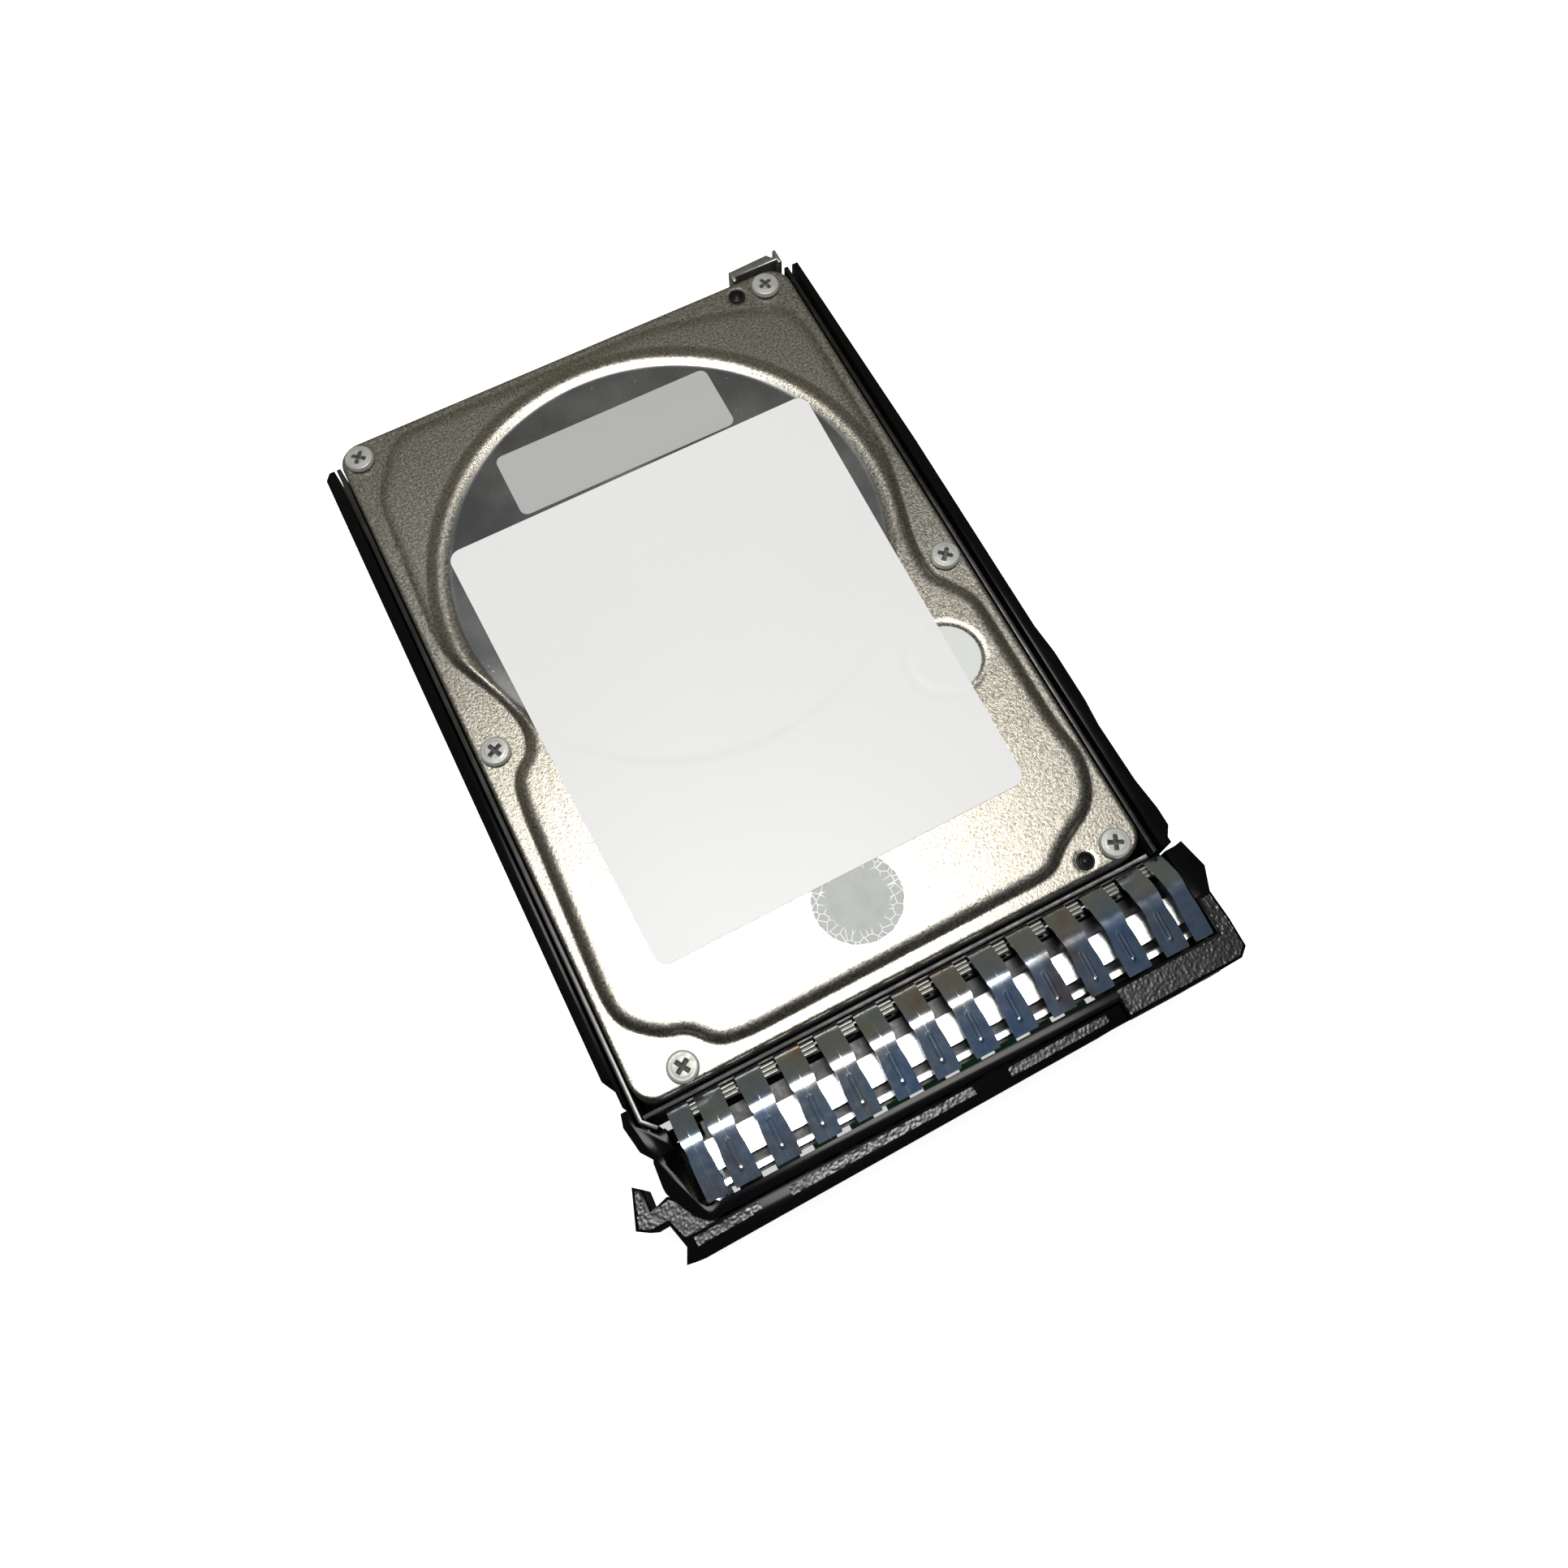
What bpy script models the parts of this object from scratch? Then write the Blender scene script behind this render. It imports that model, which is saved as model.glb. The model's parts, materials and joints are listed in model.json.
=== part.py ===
"""Hard disk drive, 2.5 inch and 15 mm thick, screwed into a hot-swap server carrier.

Every number below is in millimetres; the helpers turn them into metres. Inside the
model, x = 0 and y = 0 are the middle of the drive, +y runs to the connector end and
z = 0 is the top of the cover's flange. The empty drive_frame carries that origin, and
puts the middle of the whole object's underside at the world's origin.
"""
import math

import bmesh
import bpy
from mathutils import Matrix, Vector

MM = 0.001

# Whole object, in the drive's own coordinates
BOX_LOW = (-41.1, -68.1, -16.4)
BOX_HIGH = (39.9, 52.9, 1.32)
FRAME_AT = (-(BOX_LOW[0] + BOX_HIGH[0]) / 2, -(BOX_LOW[1] + BOX_HIGH[1]) / 2, -BOX_LOW[2])
FLOOR_Z = BOX_LOW[2]
GAP = 0.3

# Drive body
DRIVE_WIDTH = 69.85
DRIVE_LENGTH = 100.2
DRIVE_BOTTOM = -14.1
HALF_WIDTH = DRIVE_WIDTH / 2
HALF_LENGTH = DRIVE_LENGTH / 2
CORNER_RADIUS = 3.2
BASE_TOP = -1.5
WELL_FLOOR = -8.6
WELL_RADIUS = 33.3
BOARD_RECESS_TOP = -10.6
SHEET = 0.6
PLATEAU_TOP = 0.7
BEAD_TOP = 0.95
BEAD_RADIUS = 31.5
SPINDLE = (0.0, HALF_LENGTH - HALF_WIDTH)
COVER_SCREWS = (
    (-32.2, 47.2), (31.0, 47.3), (-32.4, -1.4), (32.4, -3.3), (-28.3, -48.0), (31.3, -48.0))
COVER_HOLE_RADIUS = 1.1
CROSS_ANGLES = (52, 17, 24, 47, 31, 65)
COVER_PLUGS = ((26.6, 47.8), (27.0, -48.2))
SIDE_SCREW_Y = (HALF_LENGTH - 14.0, HALF_LENGTH - 90.6)
SIDE_SCREW_Z = DRIVE_BOTTOM + 3.0
SIDE_HOLE_RADIUS = 1.65
SIDE_SCREW_RADIUS = 1.3
CONNECTOR_HALF_WIDTH = 21.4
CONNECTOR_BACK = 51.0
BOARD_BOTTOM = -13.9
BOARD_TOP = -13.0

# Disks and heads
DISK_RADIUS = 32.5
DISK_BORE = 10.0
DISK_BOTTOMS = (-6.9, -3.9)
DISK_THICKNESS = 0.8
PIVOT = (16.0, -22.5)
HEAD_REACH = 33.5
ARM_LENGTH = 22.0
PARKED_ANGLE = 165.0
ARM_BOTTOMS = (-8.2, -5.3, -2.6)
ARM_THICKNESS = 0.6
YOKE_SWEEP = (-74, 6)

# Carrier
TRAY_INSIDE = 35.15
TRAY_BOTTOM = -15.3
TRAY_WALL_TOP = -0.2
TRAY_FRONT = -51.1
TRAY_BACK = 49.4
WINDOW_X = ((-31, -2), (2, 31))
WINDOW_Y = ((-46, -18), (-12, 16), (22, 46))
RAIL_TOP = -0.3
LEFT_RAIL_INNER = -36.05
LEFT_RAIL_OUTER = -37.6
RIGHT_RAIL_INNER = 36.5
BEZEL_TOP = 0.2
PLATE_FRONT = -64.9
PLATE_BACK = -63.4
BLOCK_FRONT = -67.2
LEVER_PIVOT = (-32.6, -63.9)
BUTTON_X = (24.85, 33.15)
BUTTON_Z = (-12.6, -4.6)
BUTTON_FRONT = -67.3
BUTTON_BACK = -65.2
LIGHT_PIPE_X = (35.2, 36.6)
PIN_HOLE_RADIUS = 0.9
PIN_RADIUS = 0.6
GRILLE_SLOTS = 9
GRILLE_FIRST_X = -27.0
GRILLE_PITCH = 4.9

# Spring fingers of the front shield
FINGER_PITCH = 5.28
FINGER_WIDTH = 3.25
FIRST_WIDE_FINGER = -28.77
END_FINGERS = ((-32.35, -29.65), (33.5, 36.0))
SHIELD_SHEET = 0.2
SHIELD_MIRROR_Z = -7.45

for old_object in list(bpy.data.objects):
    bpy.data.objects.remove(old_object, do_unlink=True)


def new_collection(name):
    collection = bpy.data.collections.new(name)
    bpy.context.scene.collection.children.link(collection)
    return collection


PARTS = new_collection("hard_disk_drive")
CUTTERS = new_collection("cutters")


def new_empty(name, location, parent=None):
    """An empty on a joint's axis, or the origin of the model."""
    empty = bpy.data.objects.new(name, None)
    PARTS.objects.link(empty)
    empty.location = Vector(location) * MM
    empty.parent = parent
    return empty


DRIVE_FRAME = new_empty("drive_frame", FRAME_AT)
SPINDLE_AXIS = new_empty("spindle_axis", (*SPINDLE, 0), DRIVE_FRAME)
ACTUATOR_AXIS = new_empty("actuator_axis", (*PIVOT, 0), DRIVE_FRAME)
LEVER_AXIS = new_empty("lever_axis", (*LEVER_PIVOT, 0), DRIVE_FRAME)
BUTTON_AXIS = new_empty(
    "button_axis", (sum(BUTTON_X) / 2, BUTTON_BACK, sum(BUTTON_Z) / 2), DRIVE_FRAME)


# ---------------------------------------------------------------- outlines

def circle(centre, radius, steps=32):
    turns = [2 * math.pi * i / steps for i in range(steps)]
    return [(centre[0] + radius * math.cos(a), centre[1] + radius * math.sin(a)) for a in turns]


def polar(centre, radius, degrees):
    angle = math.radians(degrees)
    return (centre[0] + radius * math.cos(angle), centre[1] + radius * math.sin(angle))


def sector(centre, inner, outer, start, end, steps=8):
    """A piece of a ring between two radii and two angles in degrees."""
    turn = (end - start) / steps
    outside = [polar(centre, outer, start + turn * i) for i in range(steps + 1)]
    inside = [polar(centre, inner, end - turn * i) for i in range(steps + 1)]
    return outside + inside


def rectangle(x, y):
    return [(x[0], y[0]), (x[1], y[0]), (x[1], y[1]), (x[0], y[1])]


def rounded(points, radius, steps=4):
    """The outline with each corner replaced by a short smooth curve."""
    result = []
    count = len(points)
    for i, corner in enumerate(points):
        here = Vector(corner)
        before = Vector(points[i - 1]) - here
        after = Vector(points[(i + 1) % count]) - here
        first = here + before.normalized() * min(radius, before.length * 0.45)
        last = here + after.normalized() * min(radius, after.length * 0.45)
        for k in range(steps + 1):
            t = k / steps
            point = first * (1 - t) ** 2 + here * 2 * t * (1 - t) + last * t ** 2
            result.append((point.x, point.y))
    return result


# ---------------------------------------------------------------- solids

def add_object(name, mesh):
    """An object in the drive's coordinates, not yet finished as a part."""
    piece = bpy.data.objects.new(name, mesh)
    PARTS.objects.link(piece)
    piece.parent = DRIVE_FRAME
    return piece


def box(name, x, y, z):
    """A box between two values on each axis."""
    mesh = bpy.data.meshes.new(name)
    shape = bmesh.new()
    size = Vector((x[1] - x[0], y[1] - y[0], z[1] - z[0])) * MM
    middle = Vector((x[0] + x[1], y[0] + y[1], z[0] + z[1])) * MM / 2
    bmesh.ops.create_cube(shape, size=1, matrix=Matrix.LocRotScale(middle, None, size))
    shape.to_mesh(mesh)
    shape.free()
    return add_object(name, mesh)


def cylinder(name, centre, radius, z, steps=32):
    """An upright cylinder between two heights."""
    mesh = bpy.data.meshes.new(name)
    shape = bmesh.new()
    place = Matrix.Translation(Vector((centre[0], centre[1], (z[0] + z[1]) / 2)) * MM)
    bmesh.ops.create_cone(
        shape, cap_ends=True, segments=steps, radius1=radius * MM, radius2=radius * MM,
        depth=(z[1] - z[0]) * MM, matrix=place)
    shape.to_mesh(mesh)
    shape.free()
    mesh.shade_smooth()
    mesh.set_sharp_from_angle(angle=math.radians(35))
    return add_object(name, mesh)


def mesh_from_curve(name, curve, place=Matrix()):
    """A closed mesh from a curve, so that it can be cut and joined."""
    guide = bpy.data.objects.new(name + "_curve", curve)
    PARTS.objects.link(guide)
    bpy.context.view_layer.update()
    evaluated = guide.evaluated_get(bpy.context.evaluated_depsgraph_get())
    mesh = bpy.data.meshes.new_from_object(evaluated)
    mesh.name = name
    shape = bmesh.new()
    shape.from_mesh(mesh)
    bmesh.ops.remove_doubles(shape, verts=shape.verts, dist=0.00001)
    bmesh.ops.transform(shape, matrix=place, verts=shape.verts)
    bmesh.ops.recalc_face_normals(shape, faces=shape.faces)
    shape.to_mesh(mesh)
    shape.free()
    bpy.data.objects.remove(guide, do_unlink=True)
    return add_object(name, mesh)


def plate(name, z, outer, *holes, place=Matrix()):
    """A flat outline, with holes, between two heights."""
    curve = bpy.data.curves.new(name, "CURVE")
    curve.dimensions = "2D"
    curve.fill_mode = "BOTH"
    curve.extrude = (z[1] - z[0]) / 2 * MM
    for outline in (outer, *holes):
        spline = curve.splines.new("POLY")
        spline.points.add(len(outline) - 1)
        for point, (x, y) in zip(spline.points, outline):
            point.co = (x * MM, y * MM, 0, 1)
        spline.use_cyclic_u = True
    lift = Matrix.Translation((0, 0, (z[0] + z[1]) / 2 * MM))
    return mesh_from_curve(name, curve, place @ lift)


def side_plate(name, x, outline):
    """An outline in y and z, as thick as the two values of x."""
    turn = Matrix(((0, 0, 1, 0), (1, 0, 0, 0), (0, 1, 0, 0), (0, 0, 0, 1)))
    return plate(name, x, outline, place=turn)


def turned(name, centre, profile, steps=32):
    """A profile of (radius, z), down the outer side and back up the inner side."""
    mesh = bpy.data.meshes.new(name)
    shape = bmesh.new()
    corners = [shape.verts.new((radius * MM, 0, z * MM)) for radius, z in profile]
    closed = profile[0][0] > 0
    for i in range(len(corners) - (0 if closed else 1)):
        shape.edges.new((corners[i], corners[(i + 1) % len(corners)]))
    shape.to_mesh(mesh)
    shape.free()
    piece = add_object(name, mesh)
    piece.location = Vector((*centre, 0)) * MM
    screw = piece.modifiers.new("turn", "SCREW")
    screw.steps = steps
    screw.render_steps = steps
    screw.use_merge_vertices = True
    screw.merge_threshold = 0.00001
    screw.use_smooth_shade = False
    return piece


def wire(name, points, radius, resolution=2):
    """A round wire through a list of points."""
    curve = bpy.data.curves.new(name, "CURVE")
    curve.dimensions = "3D"
    curve.bevel_depth = radius * MM
    curve.bevel_resolution = resolution
    curve.use_fill_caps = True
    spline = curve.splines.new("POLY")
    spline.points.add(len(points) - 1)
    for point, place in zip(spline.points, points):
        point.co = (*(Vector(place) * MM), 1)
    return mesh_from_curve(name, curve)


def merged(name, pieces):
    """Several solids that don't touch, as one object for a single cut or join."""
    shape = bmesh.new()
    for piece in pieces:
        start = len(shape.verts)
        shape.from_mesh(piece.data)
        shape.verts.ensure_lookup_table()
        bmesh.ops.transform(shape, matrix=piece.matrix_basis, verts=shape.verts[start:])
        bpy.data.objects.remove(piece, do_unlink=True)
    mesh = bpy.data.meshes.new(name)
    shape.to_mesh(mesh)
    shape.free()
    return add_object(name, mesh)


def combine(piece, other, operation):
    """A Boolean with a shape that is then hidden among the cutters."""
    PARTS.objects.unlink(other)
    CUTTERS.objects.link(other)
    other.hide_render = True
    other.display_type = "WIRE"
    modifier = piece.modifiers.new(other.name, "BOOLEAN")
    modifier.operation = operation
    modifier.solver = "EXACT"
    modifier.object = other


def cut(piece, *others):
    for other in others:
        combine(piece, other, "DIFFERENCE")


def join(piece, *others):
    for other in others:
        combine(piece, other, "UNION")


def soften(piece, width, segments=1):
    """Breaks the sharp edges."""
    bevel = piece.modifiers.new("edges", "BEVEL")
    bevel.width = width * MM
    bevel.segments = segments
    bevel.limit_method = "ANGLE"
    bevel.angle_limit = math.radians(40)


def finish(piece, colour, metallic, roughness, axis=None):
    """Gives a part its own material, and its joint's axis as parent if it moves."""
    material = bpy.data.materials.new(piece.name)
    material.use_nodes = True
    shader = material.node_tree.nodes["Principled BSDF"]
    shader.inputs["Base Color"].default_value = (*colour, 1)
    shader.inputs["Metallic"].default_value = metallic
    shader.inputs["Roughness"].default_value = roughness
    piece.data.materials.append(material)
    if axis:
        if piece.data.vertices and piece.location.length == 0:
            piece.data.transform(Matrix.Translation(-axis.location))
        else:
            piece.location = piece.location - axis.location
        piece.parent = axis
    return piece


STEEL = (0.62, 0.62, 0.60)
BRIGHT_STEEL = (0.80, 0.81, 0.82)
COVER_METAL = (0.46, 0.43, 0.38)
CASTING = (0.55, 0.56, 0.57)
BLACK_PLASTIC = (0.012, 0.012, 0.013)
COPPER = (0.72, 0.33, 0.16)
BOARD_GREEN = (0.03, 0.16, 0.07)


# ---------------------------------------------------------------- drive body

def cover_outline(inset):
    """The drive's rounded rectangle, pulled in by inset."""
    x = HALF_WIDTH - inset
    y = HALF_LENGTH - inset
    return rounded(rectangle((-x, x), (-y, y)), CORNER_RADIUS, 4)


def bay_outline():
    """The space for the actuator, in front of the disks."""
    x = 30.6
    front = -43.4
    return [
        (-x, front), (x, front), (x, -8.5), (24, -8.5), (24, 1), (-24, 1), (-24, -8.5), (-x, -8.5)]


def make_base():
    base = plate("hdd_base", (DRIVE_BOTTOM, BASE_TOP), cover_outline(0))
    well = cylinder("disk_well", SPINDLE, WELL_RADIUS, (WELL_FLOOR, 1), 48)
    bay = plate("actuator_bay", (WELL_FLOOR, 1), bay_outline())
    motor_pocket = cylinder("motor_pocket", SPINDLE, 13, (-11.5, -8), 48)
    board_recess = plate(
        "board_recess", (DRIVE_BOTTOM - 1, BOARD_RECESS_TOP),
        rectangle((-31, 31), (-45, 44.5)), circle(SPINDLE, 14.5, 40))
    connector_notch = box("connector_notch", (-22, 22), (44, 52), (DRIVE_BOTTOM - 1, -8.9))
    cover_holes = merged("cover_screw_holes", [
        cylinder("hole", place, COVER_HOLE_RADIUS, (-4.8, 0), 10) for place in COVER_SCREWS])
    side_holes = []
    for side in (-1, 1):
        for y in SIDE_SCREW_Y:
            hole = cylinder("side_hole", (0, 0), SIDE_HOLE_RADIUS, (-3, 3), 16)
            turn = Matrix.Rotation(math.radians(90), 4, "Y")
            place = Matrix.Translation(Vector((side * 35, y, SIDE_SCREW_Z)) * MM)
            hole.data.transform(place @ turn)
            side_holes.append(hole)
    cut(base, well, bay, motor_pocket, board_recess, connector_notch, cover_holes,
        merged("side_screw_holes", side_holes))
    return finish(base, CASTING, 0.9, 0.45)


def plateau_outline():
    """The raised area of the cover, with its notches around the screws."""
    return [
        (-26.5, 48.3), (12.5, 48.3), (23.5, 45.8), (31.8, 42.8), (33.0, 38.0), (33.0, 14.0),
        (29.4, 0.5), (29.2, -5.0), (31.2, -7.8), (32.9, -10.6), (32.9, -31.0), (33.7, -36.2),
        (31.7, -41.9), (25.2, -45.2), (22.6, -47.6), (-20.0, -47.9), (-23.4, -47.2),
        (-25.7, -44.2), (-29.0, -43.3), (-32.4, -40.2), (-33.2, -37.0), (-32.0, -9.2),
        (-31.2, -5.6), (-28.4, -3.6), (-27.4, 0.0), (-28.6, 5.0), (-32.9, 14.0),
        (-32.9, 21.0), (-31.9, 40.4)]


def make_cover():
    """A stamped sheet: flange, raised area, and the bead round the disks."""
    cover = plate("top_cover", (-SHEET, 0), cover_outline(0))
    raised = plate("raised_area", (-SHEET, PLATEAU_TOP), rounded(plateau_outline(), 1.2, 1))
    bead = turned("bead", SPINDLE, [
        (BEAD_RADIUS, BEAD_TOP), (BEAD_RADIUS + 0.9, PLATEAU_TOP - 0.3),
        (BEAD_RADIUS - 0.9, PLATEAU_TOP - 0.3)], 48)
    hollow = plate(
        "cover_underside", (-SHEET - 1, PLATEAU_TOP - SHEET),
        rounded(rectangle((-26, 26), (-42, 46)), 3, 2))
    holes = merged("cover_holes", [
        cylinder("hole", place, COVER_HOLE_RADIUS, (-2, 2), 10) for place in COVER_SCREWS + COVER_PLUGS])
    join(cover, raised, bead)
    cut(cover, hollow, holes)
    return finish(cover, COVER_METAL, 0.9, 0.4)


def make_gasket():
    holes = [circle(place, 1.3, 10) for place in COVER_SCREWS]
    gasket = plate("cover_gasket", (-1.2, -0.9), cover_outline(0.3), *holes)
    cut(gasket, cylinder("gasket_well", SPINDLE, WELL_RADIUS, (-2, 0), 48),
        plate("gasket_bay", (-2, 0), bay_outline()))
    return finish(gasket, (0.10, 0.06, 0.04), 0.0, 0.7)


def phillips_recess(centre, z, degrees, arm=1.0, thickness=0.34):
    """The cross that a screwdriver turns, as a cutter open at the top."""
    a, b = arm, thickness / 2
    cross = [(a, -b), (a, b), (b, b), (b, a), (-b, a), (-b, b),
             (-a, b), (-a, -b), (-b, -b), (-b, -a), (b, -a), (b, -b)]
    place = Matrix.Translation(Vector((*centre, 0)) * MM) @ Matrix.Rotation(math.radians(degrees), 4, "Z")
    return plate("cross", z, cross, place=place)


def make_cover_screws():
    for i, (place, degrees) in enumerate(zip(COVER_SCREWS, CROSS_ANGLES), 1):
        screw = turned(f"cover_screw_{i}", place, [
            (0, 1.15), (1.2, 1.05), (2.0, 0.5), (2.0, 0.25), (0.8, 0.25), (0.8, -4.3), (0, -4.3)], 16)
        cut(screw, phillips_recess(place, (0.55, 2), degrees))
        finish(screw, BRIGHT_STEEL, 1.0, 0.25)


def make_cover_plugs():
    for name, place in zip(("cover_plug_rear", "cover_plug_front"), COVER_PLUGS):
        plug = turned(name, place, [
            (0, 0.3), (0.9, 0.3), (1.45, 0.45), (1.45, 0.1), (0.8, 0.1), (0.8, -0.5), (0, -0.5)], 16)
        finish(plug, (0.01, 0.01, 0.01), 0.0, 0.5)


def make_labels():
    label_z = PLATEAU_TOP + 0.5
    label = plate("main_label", (label_z, label_z + 0.12), rounded(
        [(-27.2, 27.4), (-25.7, -36.2), (25.7, -36.0), (27.2, 27.8)], 2.0))
    finish(label, (0.80, 0.80, 0.80), 0.0, 0.45)
    strip = plate("strip_label", (PLATEAU_TOP + 0.1, PLATEAU_TOP + 0.22), rounded(
        rectangle((-15.6, 16.8), (28.4, 38.6)), 1.2))
    finish(strip, (0.45, 0.45, 0.45), 0.0, 0.45)
    seal_z = (PLATEAU_TOP + 0.1, PLATEAU_TOP + 0.18)
    front_seal = plate("foil_seal_front", seal_z, circle((-0.5, -39.6), 5.8, 40))
    finish(front_seal, (0.62, 0.63, 0.62), 0.8, 0.35)
    side_seal = plate("foil_seal_side", seal_z, circle((25.0, -16.6), 4.6, 40))
    finish(side_seal, (0.62, 0.63, 0.62), 0.8, 0.35)


# ---------------------------------------------------------------- disks and motor

def make_disk_pack():
    for i, bottom in enumerate(DISK_BOTTOMS, 1):
        top = bottom + DISK_THICKNESS
        disk = turned(f"disk_platter_{i}", SPINDLE, [
            (DISK_RADIUS, top), (DISK_RADIUS, bottom), (DISK_BORE, bottom), (DISK_BORE, top)], 48)
        finish(disk, (0.70, 0.70, 0.72), 1.0, 0.06, SPINDLE_AXIS)
    low = DISK_BOTTOMS[0] + DISK_THICKNESS + GAP
    high = DISK_BOTTOMS[1] - GAP
    spacer = turned("disk_spacer", SPINDLE, [(12, high), (12, low), (DISK_BORE, low), (DISK_BORE, high)])
    finish(spacer, STEEL, 1.0, 0.3, SPINDLE_AXIS)
    hub = turned("spindle_hub", SPINDLE, [
        (0, -3.2), (9.7, -3.2), (9.7, -7.2), (12, -7.2), (12, -8.2), (7.6, -8.2), (7.6, -4.4),
        (1.4, -4.4), (1.4, -11.0), (0, -11.0)])
    finish(hub, STEEL, 1.0, 0.35, SPINDLE_AXIS)
    clamp = turned("disk_clamp", SPINDLE, [
        (0, -1.9), (9.6, -1.9), (12, -2.2), (12, -2.8), (0, -2.8)])
    finish(clamp, STEEL, 1.0, 0.25, SPINDLE_AXIS)
    bearing = turned("spindle_bearing", SPINDLE, [
        (3.2, -4.8), (3.2, -11.2), (1.75, -11.2), (1.75, -4.8)])
    finish(bearing, STEEL, 1.0, 0.3)


def make_motor_stator():
    """Nine wound poles on a ring, inside the hub."""
    stator = turned("motor_stator", SPINDLE, [(4.8, -6.2), (4.8, -9.8), (3.5, -9.8), (3.5, -6.2)], 36)
    poles = []
    for i in range(9):
        pole = box("pole", (4.3, 7.2), (-0.9, 0.9), (-9.4, -6.6))
        turn = Matrix.Rotation(2 * math.pi * i / 9, 4, "Z")
        pole.data.transform(Matrix.Translation(Vector((*SPINDLE, 0)) * MM) @ turn)
        poles.append(pole)
    join(stator, merged("poles", poles))
    return finish(stator, COPPER, 0.8, 0.4)


# ---------------------------------------------------------------- actuator

def arm_outline():
    """One flat arm from the pivot towards the disks, narrowing to its end."""
    near = [polar(PIVOT, 4.6, PARKED_ANGLE + turn) for turn in (70, 0, -70)]
    far = [polar(PIVOT, ARM_LENGTH, PARKED_ANGLE + turn) for turn in (-6, 6)]
    return [near[0], PIVOT, near[2], far[0], far[1]]


def make_actuator():
    block = turned("actuator_block", PIVOT, [
        (4.6, -1.9), (4.6, -8.2), (3.0, -8.2), (3.0, -1.9)])
    bore = cylinder("bore", PIVOT, 3.0, (-12, 1))
    for i, bottom in enumerate(ARM_BOTTOMS, 1):
        join(block, plate(f"arm_{i}", (bottom, bottom + ARM_THICKNESS), arm_outline()))
    behind = PARKED_ANGLE + 180
    fork = [polar(PIVOT, 4.0, behind - 50), polar(PIVOT, 4.0, behind + 50),
            polar(PIVOT, 7.0, behind + 38), polar(PIVOT, 7.0, behind - 38)]
    join(block, plate("coil_mount", (-5.9, -4.1), fork))
    cut(block, bore)
    finish(block, (0.60, 0.61, 0.62), 1.0, 0.4, ACTUATOR_AXIS)

    coil = plate(
        "voice_coil", (-5.9, -4.1), sector(PIVOT, 7.4, 13.2, behind - 20, behind + 20),
        sector(PIVOT, 9.2, 11.4, behind - 11, behind + 11))
    finish(coil, COPPER, 0.7, 0.35, ACTUATOR_AXIS)

    pivot = turned("pivot_bearing", PIVOT, [(0, -1.8), (2.6, -1.8), (2.6, -8.3), (0, -8.3)])
    finish(pivot, BRIGHT_STEEL, 1.0, 0.2)

    for i, bottom in enumerate(ARM_BOTTOMS, 1):
        root, tip = ARM_LENGTH + GAP, HEAD_REACH
        spring = plate(f"head_suspension_{i}", (bottom + 0.15, bottom + 0.4), [
            polar(PIVOT, root, PARKED_ANGLE - 5), polar(PIVOT, tip, PARKED_ANGLE - 1),
            polar(PIVOT, tip, PARKED_ANGLE + 1), polar(PIVOT, root, PARKED_ANGLE + 5)])
        finish(spring, BRIGHT_STEEL, 1.0, 0.25, ACTUATOR_AXIS)


def make_voice_coil_motor():
    """Two yokes with a magnet each, above and below the coil's whole sweep."""
    for name, z, inner, outer in (
            ("vcm_yoke_bottom", (-8.3, -7.3), 6.6, 14.2), ("vcm_magnet_bottom", (-7.0, -6.2), 7.2, 13.6),
            ("vcm_magnet_top", (-3.8, -3.0), 7.2, 13.6), ("vcm_yoke_top", (-2.7, -1.7), 6.6, 14.2)):
        piece = plate(name, z, sector(PIVOT, inner, outer, *YOKE_SWEEP, 12))
        finish(piece, BRIGHT_STEEL, 1.0, 0.25)


def make_drive_fittings():
    ramp = plate("load_ramp", (-8.2, -2.0), sector(PIVOT, 34.0, 37.2, 167, 174, 3))
    finish(ramp, (0.75, 0.73, 0.66), 0.0, 0.5)
    stop = cylinder("crash_stop", (17.6, -40.2), 1.6, (-8.3, -1.9), 16)
    finish(stop, (0.02, 0.02, 0.02), 0.0, 0.8)
    air_filter = box("recirculation_filter", (-29.5, -22.5), (-30, -20), (-8.3, -2.2))
    finish(air_filter, (0.85, 0.85, 0.83), 0.0, 0.9)
    route = [(10.6, -25.6), (7.0, -28.8), (5.2, -33.4), (4.8, -38.4)]
    offset = [(x - 0.2, y + 0.2) for x, y in reversed(route)]
    flex = plate("actuator_flex", (-6.6, -3.4), route + offset)
    finish(flex, (0.55, 0.27, 0.06), 0.0, 0.45)


def make_logic_board():
    """The board under the casting, cut out around the motor, with its chips on top."""
    board = plate(
        "logic_board", (BOARD_BOTTOM, BOARD_TOP), rounded(rectangle((-30.4, 30.4), (-44.4, 43.7)), 2, 2),
        circle(SPINDLE, 15.2, 40))
    chips = [box("chip", x, y, (BOARD_TOP - 0.2, top)) for x, y, top in (
        ((-8, 8), (-22, -6), -11.6), ((14, 25), (-30, -22), -12.0),
        ((-26, -16), (-32, -18), -11.8), ((-25, -18), (10, 20), -12.0))]
    join(board, merged("chips", chips))
    return finish(board, BOARD_GREEN, 0.0, 0.4)


def make_connector():
    """The host connector: a shroud with a tongue that carries the contacts."""
    shell, mouth, tongue = (CONNECTOR_HALF_WIDTH - wall for wall in (0, 1, 2))
    connector = box("sas_connector", (-shell, shell), (44.3, CONNECTOR_BACK), (BOARD_BOTTOM, -9.3))
    cut(connector, box("mouth", (-mouth, mouth), (46.6, CONNECTOR_BACK + 1), (-13.2, -10.0)))
    join(connector, box("tongue", (-tongue, tongue), (46, CONNECTOR_BACK - 0.4), (-12.2, -11.0)))
    return finish(connector, BLACK_PLASTIC, 0.0, 0.45)


# ---------------------------------------------------------------- carrier

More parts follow.
